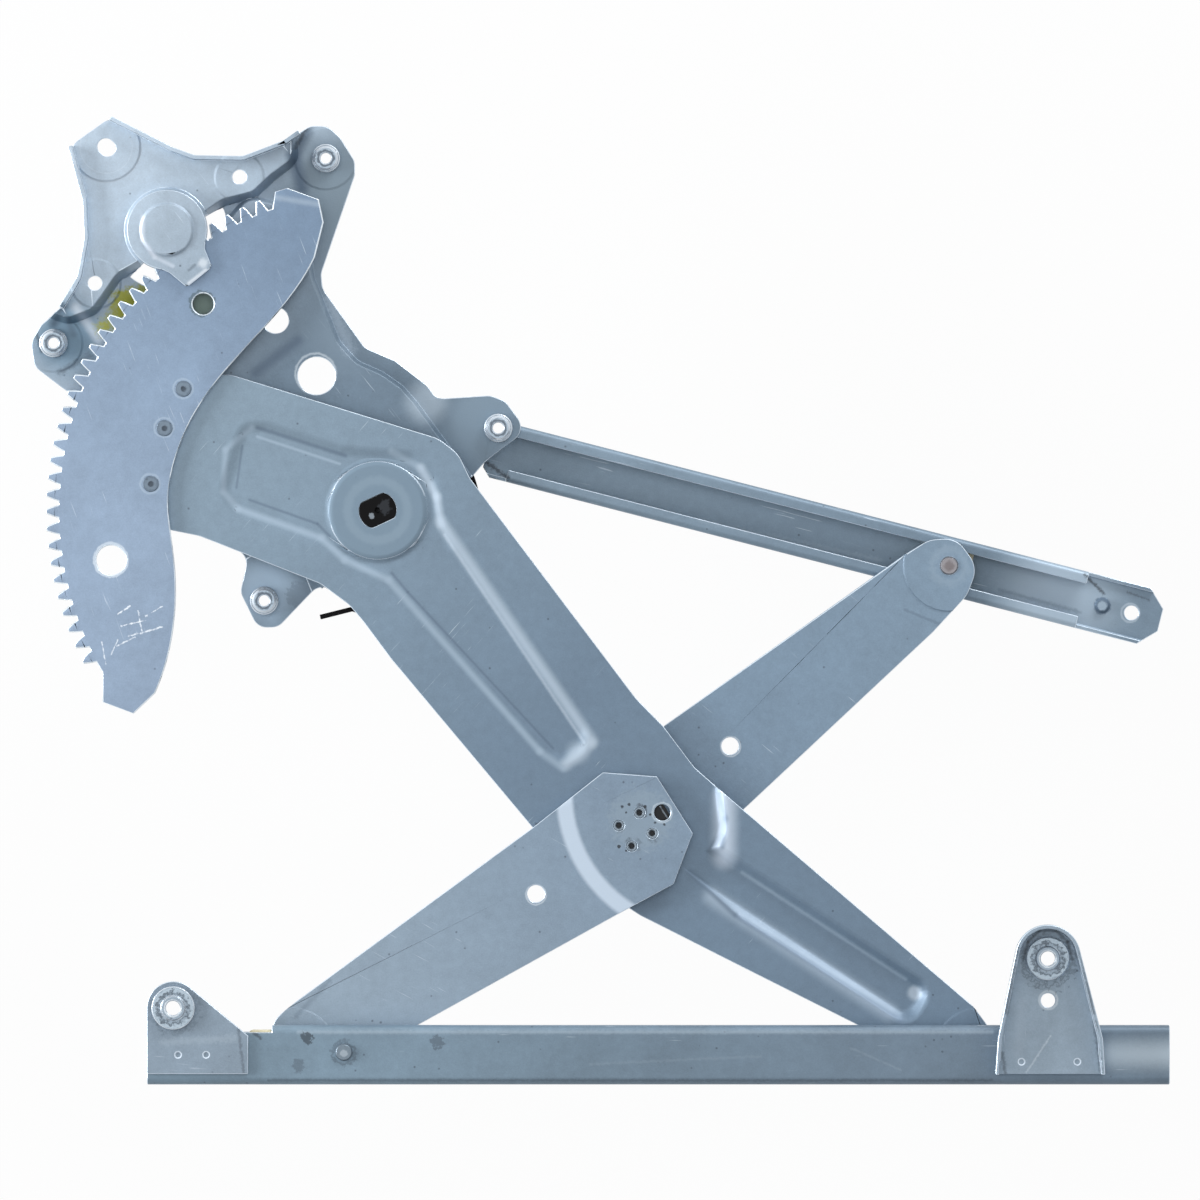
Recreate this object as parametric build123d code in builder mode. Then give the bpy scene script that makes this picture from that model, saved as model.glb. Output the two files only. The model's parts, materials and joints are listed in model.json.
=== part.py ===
from build123d import *
from math import atan2, cos, degrees, hypot, radians, sin
import os

os.makedirs("parts", exist_ok=True)

# Window regulator, lying on its back, +Z towards the viewer.
# The origin is the axis of the lower panel nut, in the plane of the door panel.

# Linkage
pivot_x = 52.4
pivot_y = 41.5
arm_length = 188.6
lift_angle = -51.04
lift_bend = 17.84
cross_angle = 40.0
lower_angle = 213.2

# Sheet metal
plate_sheet = 2.0
arm_sheet = 2.5
sector_sheet = 3.0
rail_sheet = 1.8
gap = 0.4
play = 0.05
face_gap = 0.3

# Levels of the base plate, measured to the front of the sheet
tab_front = plate_sheet
floor_front = 7.0
seat_front = 11.0
flange_height = 4.5

# Levels of the moving pieces, measured to the back of the sheet
arm_back = 9.0
sector_back = arm_back + arm_sheet
sector_front = sector_back + sector_sheet
pin_head = 1.0
tip_back = sector_back + gap + pin_head
tip_front = tip_back + arm_sheet
press_depth = 1.5
press_slope = 70
upper_back = arm_back - gap - arm_sheet
upper_tip_back = 0.5
lower_step = 1.5
lower_back = tip_back + lower_step
dome_front = sector_front + 2.4
dome_sheet = 1.8
boss_height = 1.2
channel_back = dome_front + boss_height + gap

# Sector and pinion
module = 2.5
pinion_teeth = 9
full_teeth = 120
sector_teeth = 33
first_tooth = 111.2
pressure_angle = 20
pinion_bearing = 126.9
pitch_radius = module * full_teeth / 2
tip_radius = pitch_radius + module
root_radius = pitch_radius - 1.25 * module
pinion_distance = pitch_radius + module * pinion_teeth / 2

# Screws and nuts
nut_hole = 2.5
nut_collar = 6.5
nut_height = 5.0
nut_pilot = 4.5
panel_nut_places = [(-52.4, -41.5), (55.4, 38.0), (-24.0, 162.2), (-149.4, 77.1)]
motor_screw_hole = 3.3
motor_screw_span = 82.5
motor_slot_place = (-124.7, 167.0)
motor_slot_width = 7.6
motor_slot_length = 8.8
pocket_radius = 27.5

# Main pivot
shaft_radius = 8.5
shaft_flats = 12.5
flat_angle = 25
journal_radius = 9.0
bush_wall = 3.0
bush_flange = 15.0
tip_raise = 0.5
tip_ring = 21.0
disc_radius = 23.7
disc_slope = 54
clip_thickness = 1.5
clip_radius = 14.0
spring_outer = 46.0
spring_strip = 2.2
spring_width = 9.5
spring_front = -0.5
spring_turns = 5
spring_inner = 13.0

# Crossing
centre_bush_radius = 12.0
centre_flange = 17.0
rivet_radius = 2.5
rivet_circle = 7.85
rivet_turn = -13.0
rivet_count = 4

# Shoes, pins, rail and channel
pin_radius = 4.5
pin_head_radius = 6.0
rail_shoe_length = 20.0
channel_shoe_length = 40.0
shoe_play = 0.3
channel_width = 27.2
channel_depth = 10.6
channel_slot = 13.6
channel_left = 66.3
channel_right = 402.8
channel_stop_place = (24.0, 1.4)
channel_stop_radius = 4.1
rail_angle = -14.4
rail_width = 26.6
rail_depth = 10.0
rail_front = -0.5
rail_slot = 15.5
rail_left = 219.4
rail_lips_left = 207.6
rail_lips_right = 63.5
rail_right = 101.0
rail_hole_place = 87.2
rail_hole = 3.3
rail_stop_place = 73.3

# Glass brackets
bracket_sheet = 1.8
spot_weld = 1.5
bracket_nut_collar = 9.9
bracket_nut_hole = 3.3
left_nut_place = (-54.2, 21.7)
right_nut_place = (346.7, 44.4)
right_hole_place = (346.9, 25.1)


def point(radius, angle):
    return (radius * cos(radians(angle)), radius * sin(radians(angle)))


def beyond(start, radius, angle):
    step = point(radius, angle)
    return (start[0] + step[0], start[1] + step[1])


def near(place, *points):
    # Points measured from a joint of the linkage.
    return [(place[0] + x, place[1] + y) for x, y in points]


def level(height):
    # A plane facing the viewer, centred on the main pivot.
    return Plane(origin=(pivot_x, pivot_y, height), x_dir=(1, 0, 0), z_dir=(0, 0, 1))


def turned(place, angle, height):
    # The same, centred on another place and turned.
    origin = (pivot_x + place[0], pivot_y + place[1], height)
    return Plane(origin=origin, x_dir=(*point(1, angle), 0), z_dir=(0, 0, 1))


centre = point(arm_length, lift_angle)
upper_end = beyond(centre, arm_length, cross_angle)
left_end = beyond(centre, arm_length, lower_angle)
right_end = beyond(centre, arm_length, lift_angle + lift_bend)
pinion = point(pinion_distance, pinion_bearing)
screw_turn = pinion_bearing + 90 - 0.6
motor_screws = [beyond(pinion, motor_screw_span / 2, screw_turn + half) for half in (0, 180)]

# Base plate: one sheet at three levels, with the motor seat nearest to the viewer
plate_outline = [
    (-122.9, 180.9), (-94.6, 166.6), (-84.3, 162.8), (-61.8, 162.4), (-42.9, 169.6), (-31.3, 177.2),
    (-23.1, 177.0), (-17.5, 171.8), (-10.7, 161.0), (-10.7, 154.4), (-26.2, 109.2), (-25.5, 102.0),
    (-6.0, 74.9), (7.8, 69.0), (22.4, 57.8), (27.0, 51.4), (51.6, 53.0), (58.5, 50.5), (68.5, 37.1),
    (49.3, 22.4), (42.4, 14.4), (32.3, -9.0), (14.7, -29.7), (-6.0, -38.0), (-28.0, -35.0), (-46.0, -53.8),
    (-55.5, -54.0), (-63.5, -37.6), (-60.0, -22.8), (-68.2, -13.6), (-109.7, 32.5), (-145.6, 56.5),
    (-158.2, 66.1), (-160.0, 77.3), (-155.3, 85.4), (-146.0, 93.2), (-137.6, 107.0), (-134.4, 124.7),
    (-135.2, 143.1), (-141.8, 167.5),
]
floor_outline = [
    (-28.5, 107.0), (-17.1, 78.6), (-8.8, 69.4), (2.8, 64.3), (12.0, 57.8), (18.4, 50.5), (44.9, 14.4),
    (34.0, -16.0), (14.0, -42.0), (-18.0, -42.0), (-34.0, -30.0), (-50.0, -16.0), (-120.0, 44.0),
    (-124.0, 78.0), (-60.0, 146.0), (-34.0, 140.0),
]
seat_outline = [
    (-37.5, 195.0), (-36.0, 160.0), (-47.5, 151.5), (-56.0, 143.5), (-70.5, 139.9), (-105.1, 114.5),
    (-118.0, 106.0), (-129.0, 90.0), (-141.9, 85.0), (-165.0, 92.0), (-165.0, 200.0),
]
top_flange = [(-122.9, 180.4), (-94.6, 166.1), (-84.3, 162.3), (-61.8, 161.9), (-42.9, 169.1), (-36.0, 174.0)]
left_flange = [(-141.4, 167.5), (-134.8, 143.1), (-134.0, 124.7), (-137.2, 107.0), (-145.6, 93.2)]
draft = 18
pad_corner = 9
plate_corner = 7


def rounded(points, radius):
    # A closed outline, run anticlockwise, with corners rounded as far as their sides allow.
    count = len(points)
    area = sum(points[i - 1][0] * points[i][1] - points[i][0] * points[i - 1][1] for i in range(count))
    points = points if area > 0 else points[::-1]
    radii = []
    for index in range(count):
        before = points[index - 1]
        corner = points[index]
        after = points[(index + 1) % count]
        first = hypot(corner[0] - before[0], corner[1] - before[1])
        second = hypot(after[0] - corner[0], after[1] - corner[1])
        turn = degrees(atan2(after[1] - corner[1], after[0] - corner[0]))
        turn -= degrees(atan2(corner[1] - before[1], corner[0] - before[0]))
        turn = abs((turn + 180) % 360 - 180)
        reach = 0.45 * min(first, second)
        radii.append(min(radius, reach / max(sin(radians(turn / 2)) / cos(radians(turn / 2)), 0.02)))
    return FilletPolyline(*points, radius=radii, close=True)


with BuildPart() as base_plate:
    with BuildSketch(level(0)):
        with BuildLine():
            rounded(plate_outline, plate_corner)
        make_face()
    extrude(amount=tab_front)
    for outline, front in ((floor_outline, floor_front), (seat_outline, seat_front)):
        with BuildSketch(level(0)):
            with BuildLine():
                rounded(outline, pad_corner)
            make_face()
        extrude(amount=front, taper=draft)
    for outline, front in ((floor_outline, floor_front), (seat_outline, seat_front)):
        with BuildSketch(level(0)):
            with BuildLine():
                rounded(outline, pad_corner)
            make_face()
            offset(amount=-plate_sheet, kind=Kind.INTERSECTION)
        extrude(amount=front - plate_sheet, taper=draft, mode=Mode.SUBTRACT)
    # The pinion's dome rises from the seat and its tongue reaches over the sector
    with BuildSketch(level(seat_front - plate_sheet)):
        with Locations(pinion):
            Circle(20)
    extrude(amount=dome_front - seat_front + plate_sheet, taper=12)
    with BuildSketch(level(dome_front - dome_sheet)):
        with BuildLine():
            rounded([pinion, (-104.0, 113.0), (-95.4, 109.0), (-87.6, 102.5), (-76.0, 111.8), (-79.3, 120.0),
                     (-79.0, 136.0)], 2)
        make_face()
    extrude(amount=dome_sheet)
    with BuildSketch(level(dome_front)):
        with Locations(pinion):
            Circle(12.5)
    extrude(amount=boss_height, taper=35)
    with BuildSketch(level(-1)):
        with Locations(pinion):
            Circle(16.6)
    extrude(amount=1 + dome_front - dome_sheet, mode=Mode.SUBTRACT)
    # Room beside the dome, where the sector's teeth pass under the tongue
    with BuildSketch(level(-1)):
        with Locations(pinion):
            Circle(pocket_radius)
        Circle(tip_radius + 4.5, mode=Mode.INTERSECT)
    extrude(amount=1 + sector_front + face_gap, mode=Mode.SUBTRACT)
    # Everything ends at the plate's own edge
    with BuildSketch(level(-1)):
        with BuildLine():
            rounded(plate_outline, plate_corner)
        make_face()
    extrude(amount=40, mode=Mode.INTERSECT)
    for edge in (top_flange, left_flange):
        with BuildSketch(level(seat_front - plate_sheet)):
            with BuildLine() as edge_line:
                FilletPolyline(*edge, radius=8)
            trace(edge_line.line, line_width=plate_sheet)
        extrude(amount=flange_height + plate_sheet)
    with BuildSketch(level(-1)):
        with Locations(*panel_nut_places):
            Circle(nut_pilot + play)
        with Locations(*motor_screws):
            Circle(motor_screw_hole)
        with Locations(Location(motor_slot_place, -40)):
            SlotOverall(motor_slot_length, motor_slot_width)
        with Locations((-28.2, 62.0)):
            Circle(8.7)
        with Locations((-47.0, 87.5)):
            Circle(6.0)
        Circle(journal_radius + bush_wall + play)
    extrude(amount=40, mode=Mode.SUBTRACT)
base_plate.part.label = "base_plate"
export_step(base_plate.part, "parts/base_plate.step")

with BuildPart() as panel_nuts:
    for place in panel_nut_places:
        with BuildSketch(turned(place, 0, 0)):
            Circle(nut_pilot)
            Circle(nut_hole, mode=Mode.SUBTRACT)
        extrude(amount=tab_front)
        with BuildSketch(turned(place, 0, tab_front)):
            Circle(nut_collar)
            Circle(nut_hole, mode=Mode.SUBTRACT)
        extrude(amount=nut_height - 1.2)
        with BuildSketch(turned(place, 0, tab_front + nut_height - 1.2)):
            Circle(nut_collar - 1.3)
            Circle(nut_hole, mode=Mode.SUBTRACT)
        extrude(amount=1.2)
panel_nuts.part.label = "panel_nuts"
export_step(panel_nuts.part, "parts/panel_nuts.step")

# Main pivot: a bush in the plate, the shaft in it, and the spiral spring round the shaft behind
bush_front = arm_back - face_gap
bush_back = floor_front - plate_sheet - 1.5
with BuildPart() as pivot_bush:
    with BuildSketch(level(bush_back)):
        Circle(journal_radius + bush_wall)
    extrude(amount=bush_front - bush_back)
    with BuildSketch(level(floor_front)):
        Circle(bush_flange)
    extrude(amount=bush_front - floor_front)
    with BuildSketch(level(bush_back)):
        Circle(journal_radius + play)
    extrude(amount=bush_front - bush_back, mode=Mode.SUBTRACT)
pivot_bush.part.label = "pivot_bush"
export_step(pivot_bush.part, "parts/pivot_bush.step")

clip_front = bush_back - face_gap
shaft_rear = spring_front - spring_width - 0.5
with BuildPart() as pivot_shaft:
    with BuildSketch(level(shaft_rear)):
        Circle(journal_radius)
    extrude(amount=arm_back - shaft_rear)
    with BuildSketch(turned((0, 0), flat_angle, arm_back)):
        Circle(shaft_radius)
        Rectangle(2 * shaft_radius, shaft_flats, mode=Mode.INTERSECT)
    extrude(amount=arm_sheet + 0.1)
    with BuildSketch(level(clip_front - clip_thickness)):
        Circle(journal_radius + 1)
        Circle(journal_radius - 1, mode=Mode.SUBTRACT)
    extrude(amount=clip_thickness, mode=Mode.SUBTRACT)
    with BuildSketch(level(arm_back + arm_sheet - 1.0)):
        Circle(1.2)
    extrude(amount=2, mode=Mode.SUBTRACT)
pivot_shaft.part.label = "pivot_shaft"
export_step(pivot_shaft.part, "parts/pivot_shaft.step")

with BuildPart() as shaft_clip:
    with BuildSketch(level(clip_front - clip_thickness)):
        Circle(clip_radius)
        Circle(journal_radius - 1 + play, mode=Mode.SUBTRACT)
        with Locations((clip_radius, 0)):
            Rectangle(2 * clip_radius, 6, mode=Mode.SUBTRACT)
    extrude(amount=clip_thickness)
shaft_clip.part.label = "shaft_clip"
export_step(shaft_clip.part, "parts/shaft_clip.step")

# The strip is wound in half circles whose radius grows by the same step each half turn
half_turns = 2 * spring_turns
half_step = (spring_outer - spring_inner) / half_turns
spring_hook = (-12.0, -45.4)
spring_tail = (-26.7, -49.1)
with BuildPart() as counterbalance_spring:
    with BuildSketch(level(spring_front - spring_width)):
        with BuildLine() as coil:
            start = (spring_inner, 0.0)
            for half in range(half_turns):
                side = 1 if half % 2 == 0 else -1
                reach = spring_inner + half_step * (half + 0.5)
                finish = (start[0] - side * 2 * reach, 0.0)
                middle = ((start[0] + finish[0]) / 2, -side * reach)
                ThreePointArc(start, middle, finish)
                start = finish
            ThreePointArc(start, (29.2, -37.4), spring_hook)
            Line(spring_hook, spring_tail)
        trace(coil.line, line_width=spring_strip)
    extrude(amount=spring_width)
counterbalance_spring.part.label = "counterbalance_spring"
export_step(counterbalance_spring.part, "parts/counterbalance_spring.step")

# Lift arm: flat from the sector to the crossing, then stepped towards the viewer
arm_outline = [
    (-120.0, 53.0), (-69.1, 62.9), (28.0, 33.0), (37.0, 26.0), (42.4, 14.8),
    *near(centre, (0.3, 60.1), (12.7, 47.5), (27.0, 28.5), (37.0, 19.7)),
    *near(right_end, (-2.6, 22.0), (4.4, 12.6), (13.0, 4.0), (12.0, -7.0), (4.0, -12.5), (-10.4, -12.5)),
    *near(right_end, (-54.7, 12.8)),
    *near(centre, (2.1, -39.7), (-16.3, -27.5), (-47.8, 1.2)),
    (6.2, -68.4), (-6.9, -50.8), (-13.0, -43.6), (-26.2, -33.8), (-82.0, -11.8), (-120.0, -4.0),
]
front_outline = [
    *near(centre, (42.4, 36.7), (35.8, 18.7), (37.9, -0.3), (7.4, -53.3)),
    *near(right_end, (23.6, -60.0), (63.6, 50.0)),
]
pocket_outline = [
    (-63.4, 40.3), (-50.9, 40.8), (-17.0, 29.6), (17.0, 27.2), (27.6, 15.0), (29.5, 0.0), (36.0, -17.5),
    *near(centre, (-21.4, 45.7), (-23.0, 35.7), (-33.3, 29.9), (-39.6, 33.7)),
    (3.0, -30.0), (-9.0, -27.5), (-27.0, -16.0), (-68.0, -0.4), (-73.0, 9.0),
]
step_slope = 50
arm_corner = 14
step_height = tip_front - arm_back - arm_sheet
rib_angle = lift_angle + lift_bend
rib_start = 26.0
rib_end = arm_length - 37.6
rib_off = 3.3
rib_width = 22.4
rib_floor = rib_width - 2 * step_height * sin(radians(step_slope)) / cos(radians(step_slope))
tooling_hole = 4.0
gauge_hole = 3.8

with BuildPart() as lift_arm:
    with BuildSketch(level(arm_back)):
        with BuildLine():
            rounded(arm_outline, arm_corner)
        make_face()
    extrude(amount=arm_sheet)
    # Beyond the crossing the arm steps towards the viewer, round a rib that stays at the old level,
    # and its back is hollowed by the same height
    for side, height, mode in ((0, step_height, Mode.ADD), (-0.5, tip_back - arm_back, Mode.SUBTRACT)):
        with BuildSketch(level(arm_back if side else arm_back + arm_sheet)) as step:
            with BuildLine():
                rounded(front_outline, 8)
            make_face()
            with Locations(Location((*beyond(centre, (rib_start + rib_end) / 2, rib_angle), 0), rib_angle)):
                with Locations((0, rib_off)):
                    RectangleRounded(rib_end - rib_start, rib_floor, rib_floor / 3, mode=Mode.SUBTRACT)
            if side:
                offset(amount=side, kind=Kind.INTERSECTION)
        extrude(amount=height, taper=step_slope, mode=mode)
    # Pocket, ring and upper rib, pressed away from the viewer, with the disc left standing
    with BuildSketch(level(arm_back)):
        with BuildLine():
            rounded(pocket_outline, 8)
        make_face()
        offset(amount=-0.4, kind=Kind.INTERSECTION)
    extrude(amount=-press_depth, taper=press_slope)
    with BuildSketch(level(arm_back + arm_sheet)):
        with BuildLine():
            rounded(pocket_outline, 8)
        make_face()
    extrude(amount=-press_depth, taper=press_slope, mode=Mode.SUBTRACT)
    with BuildSketch(level(arm_back + arm_sheet - press_depth)):
        Circle(disc_radius)
    extrude(amount=press_depth, taper=disc_slope)
    with BuildSketch(level(arm_back - press_depth)):
        Circle(disc_radius - 1.2)
    extrude(amount=press_depth, taper=disc_slope, mode=Mode.SUBTRACT)
    with BuildSketch(turned(right_end, 0, tip_front)):
        Circle(tip_ring)
    extrude(amount=tip_raise)
    with BuildSketch(turned(right_end, 0, tip_back)):
        Circle(tip_ring)
    extrude(amount=tip_raise, mode=Mode.SUBTRACT)
    with BuildSketch(level(arm_back - 5)):
        with BuildLine():
            rounded(arm_outline, arm_corner)
        make_face()
    extrude(amount=40, mode=Mode.INTERSECT)
    with BuildSketch(level(arm_back - 5)):
        with Locations(centre):
            Circle(centre_bush_radius + play)
        with Locations(right_end):
            Circle(pin_radius + play)
    extrude(amount=30, mode=Mode.SUBTRACT)
    with BuildSketch(turned((0, 0), flat_angle, arm_back - 5)):
        Circle(shaft_radius + play)
        Rectangle(3 * shaft_radius, shaft_flats + 2 * play, mode=Mode.INTERSECT)
    extrude(amount=30, mode=Mode.SUBTRACT)
lift_arm.part.label = "lift_arm"
export_step(lift_arm.part, "parts/lift_arm.step")

# Sector: an involute-toothed edge on a curved plate
base_radius = pitch_radius * cos(radians(pressure_angle))


def flank(radius, side):
    # A point of the tooth's involute flank, the tooth standing on the X axis.
    roll = (radius / base_radius) ** 2 - 1
    at_pitch = (pitch_radius / base_radius) ** 2 - 1
    involute = degrees(roll**0.5) - degrees(atan2(roll**0.5, 1))
    involute_pitch = degrees(at_pitch**0.5) - degrees(atan2(at_pitch**0.5, 1))
    return point(radius, side * (90 / full_teeth + involute_pitch - involute))


tooth_pitch = 360 / full_teeth
tooth_root = root_radius - 0.5
last_tooth = first_tooth + (sector_teeth - 1) * tooth_pitch
sector_start = first_tooth - 2.0
sector_end = last_tooth + 3.3
inner_edge = [
    (-28.8, 116.5), (-40.6, 97.5), (-69.8, 64.5), (-86.0, 41.2), (-92.9, 24.2), (-96.3, 5.8), (-95.4, -8.1),
    (-93.2, -26.0), (-93.7, -52.3), (-102.3, -84.1),
]
sector_rivet_places = [(-89.3, 55.9), (-98.0, 37.8), (-104.3, 12.2)]
sector_rivet_radius = 3.7

with BuildSketch() as tooth:
    with BuildLine():
        left_side = ThreePointArc(flank(tooth_root, 1), flank(pitch_radius, 1), flank(tip_radius, 1))
        right_side = ThreePointArc(flank(tooth_root, -1), flank(pitch_radius, -1), flank(tip_radius, -1))
        Line(left_side @ 1, right_side @ 1)
        Line(left_side @ 0, right_side @ 0)
    make_face()

with BuildPart() as sector_gear:
    with BuildSketch(level(sector_back)):
        with BuildLine():
            top_start = point(root_radius, sector_start)
            bottom_end = point(root_radius, sector_end)
            Polyline(top_start, (-47.3, 146.4), (-41.5, 148.2), (-27.0, 142.9), (-24.8, 132.4), inner_edge[0])
            Spline(*inner_edge)
            Polyline(inner_edge[-1], (-112.2, -93.5), (-126.5, -88.2), bottom_end)
            ThreePointArc(bottom_end, point(root_radius, (sector_start + sector_end) / 2), top_start)
        make_face()
        span = (sector_teeth - 1) * tooth_pitch
        with PolarLocations(0, sector_teeth, start_angle=first_tooth, angular_range=span, endpoint=True):
            add(tooth.sketch)
        with Locations((-80.2, 94.9)):
            Circle(4.9, mode=Mode.SUBTRACT)
        with Locations((-122.5, -22.9)):
            Circle(6.8, mode=Mode.SUBTRACT)
        with Locations(*sector_rivet_places):
            Circle(sector_rivet_radius + play, mode=Mode.SUBTRACT)
    extrude(amount=sector_sheet)
sector_gear.part.label = "sector_gear"
export_step(sector_gear.part, "parts/sector_gear.step")

# The rivets are pressed out of the arm's front into the sector and stand a little proud
with BuildPart() as sector_rivets:
    for place in sector_rivet_places:
        with BuildSketch(turned(place, 0, sector_back)):
            Circle(sector_rivet_radius)
        extrude(amount=sector_sheet + 0.3)
        with BuildSketch(turned(place, 0, sector_front)):
            Circle(1.3)
        extrude(amount=0.3, mode=Mode.SUBTRACT)
sector_rivets.part.label = "sector_rivets"
export_step(sector_rivets.part, "parts/sector_rivets.step")

# Cross arm: one half behind the lift arm and one in front, riveted together through a bush
upper_outline = [
    *near(centre, (13.7, 47.9), (-6.6, 28.7), (-20.6, 6.7), (-14.6, -13.3), (3.4, -20.3), (28.4, -10.3), (51.2, 10.2)),
    *near(upper_end, (-7.4, -30.6), (8.3, -13.6), (13.2, -0.6), (3.4, 12.6), (-9.0, 12.0), (-20.2, 5.4)),
]
upper_hole = near(centre, (43.6, 38.2))
lower_outline = [
    *near(centre, (-15.0, 26.2), (-47.2, 0.8)),
    *near(left_end, (2.6, 24.8), (-7.8, 16.4), (-12.5, 2.9), (-7.8, -11.0), (9.2, -12.5), (57.2, 13.0)),
    *near(centre, (-4.3, -36.9), (17.5, -25.1), (26.3, -1.8), (9.8, 24.3)),
]
lower_corners = [1, 5, 12, 14, 14, 14, 14, 14, 1, 1, 1, 1]
lower_holes = near(centre, (-45.8, -29.6), (12.3, 7.8))
band_centre = near(centre, (31.4, 16.7))[0]
band_radius = 69.0
band_slope = 81
upper_front = upper_back + arm_sheet
upper_tip_front = upper_tip_back + arm_sheet
upper_rise = upper_back - upper_tip_back
rivet_step = 360 / rivet_count
rivet_places = [beyond(centre, rivet_circle, rivet_turn + rivet_step * index) for index in range(rivet_count)]

with BuildPart() as cross_arm_upper:
    with BuildSketch(level(upper_tip_back)):
        with BuildLine():
            rounded(upper_outline, 14)
        make_face()
    extrude(amount=arm_sheet)
    with BuildSketch(turned(centre, 0, upper_tip_front)):
        Circle(36)
    extrude(amount=upper_rise, taper=30)
    with BuildSketch(turned(centre, 0, upper_tip_back)):
        Circle(34)
    extrude(amount=upper_rise, taper=30, mode=Mode.SUBTRACT)
    with BuildSketch(turned(upper_end, 0, upper_tip_front)):
        Circle(tip_ring)
    extrude(amount=tip_raise)
    with BuildSketch(turned(upper_end, 0, upper_tip_back)):
        Circle(tip_ring)
    extrude(amount=tip_raise, mode=Mode.SUBTRACT)
    with BuildSketch(level(upper_tip_back)):
        with BuildLine():
            rounded(upper_outline, 14)
        make_face()
    extrude(amount=20, mode=Mode.INTERSECT)
    with BuildSketch(level(upper_tip_back)):
        with Locations(*rivet_places):
            Circle(rivet_radius + play)
        with Locations(*upper_hole):
            Circle(tooling_hole)
        with Locations(upper_end):
            Circle(pin_radius - 0.5 + play)
    extrude(amount=20, mode=Mode.SUBTRACT)
cross_arm_upper.part.label = "cross_arm_upper"
export_step(cross_arm_upper.part, "parts/cross_arm_upper.step")

with BuildPart() as cross_arm_lower:
    with BuildSketch(level(tip_back)):
        with BuildLine():
            FilletPolyline(*lower_outline, radius=lower_corners, close=True)
        make_face()
    extrude(amount=arm_sheet)
    with BuildSketch(turned(band_centre, 0, tip_front)):
        Circle(band_radius)
    extrude(amount=lower_step, taper=band_slope)
    with BuildSketch(turned(band_centre, 0, tip_back)):
        Circle(band_radius - 1)
    extrude(amount=lower_step, taper=band_slope, mode=Mode.SUBTRACT)
    with BuildSketch(turned(left_end, 0, tip_front)):
        Circle(tip_ring)
    extrude(amount=tip_raise)
    with BuildSketch(turned(left_end, 0, tip_back)):
        Circle(tip_ring)
    extrude(amount=tip_raise, mode=Mode.SUBTRACT)
    with BuildSketch(level(tip_back)):
        with BuildLine():
            FilletPolyline(*lower_outline, radius=lower_corners, close=True)
        make_face()
    extrude(amount=20, mode=Mode.INTERSECT)
    with BuildSketch(level(tip_back)):
        with Locations(*rivet_places):
            Circle(rivet_radius + play)
        with Locations(lower_holes[0]):
            Circle(tooling_hole)
        with Locations(lower_holes[1]):
            Circle(gauge_hole)
        with Locations(left_end):
            Circle(pin_radius + play)
    extrude(amount=20, mode=Mode.SUBTRACT)
cross_arm_lower.part.label = "cross_arm_lower"
export_step(cross_arm_lower.part, "parts/cross_arm_lower.step")

lower_front = lower_back + arm_sheet
with BuildPart() as centre_bush:
    with BuildSketch(turned(centre, 0, upper_front)):
        Circle(centre_bush_radius)
    extrude(amount=lower_back - upper_front)
    with BuildSketch(turned(centre, 0, arm_back + arm_sheet + face_gap)):
        Circle(centre_flange)
    extrude(amount=lower_back - arm_back - arm_sheet - face_gap)
    with BuildSketch(level(upper_front)):
        with Locations(*rivet_places):
            Circle(rivet_radius + play)
    extrude(amount=lower_back - upper_front, mode=Mode.SUBTRACT)
centre_bush.part.label = "centre_bush"
export_step(centre_bush.part, "parts/centre_bush.step")

with BuildPart() as centre_rivets:
    for place in rivet_places:
        with BuildSketch(turned(place, 0, upper_back)):
            Circle(rivet_radius)
        extrude(amount=lower_front - upper_back)
        with BuildSketch(turned(place, 0, upper_back)):
            Circle(rivet_radius + 1.2)
        extrude(amount=-1.5, taper=20)
        with BuildSketch(turned(place, 0, lower_front)):
            Circle(1.4)
        extrude(amount=-2.5, mode=Mode.SUBTRACT)
centre_rivets.part.label = "centre_rivets"
export_step(centre_rivets.part, "parts/centre_rivets.step")

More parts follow.
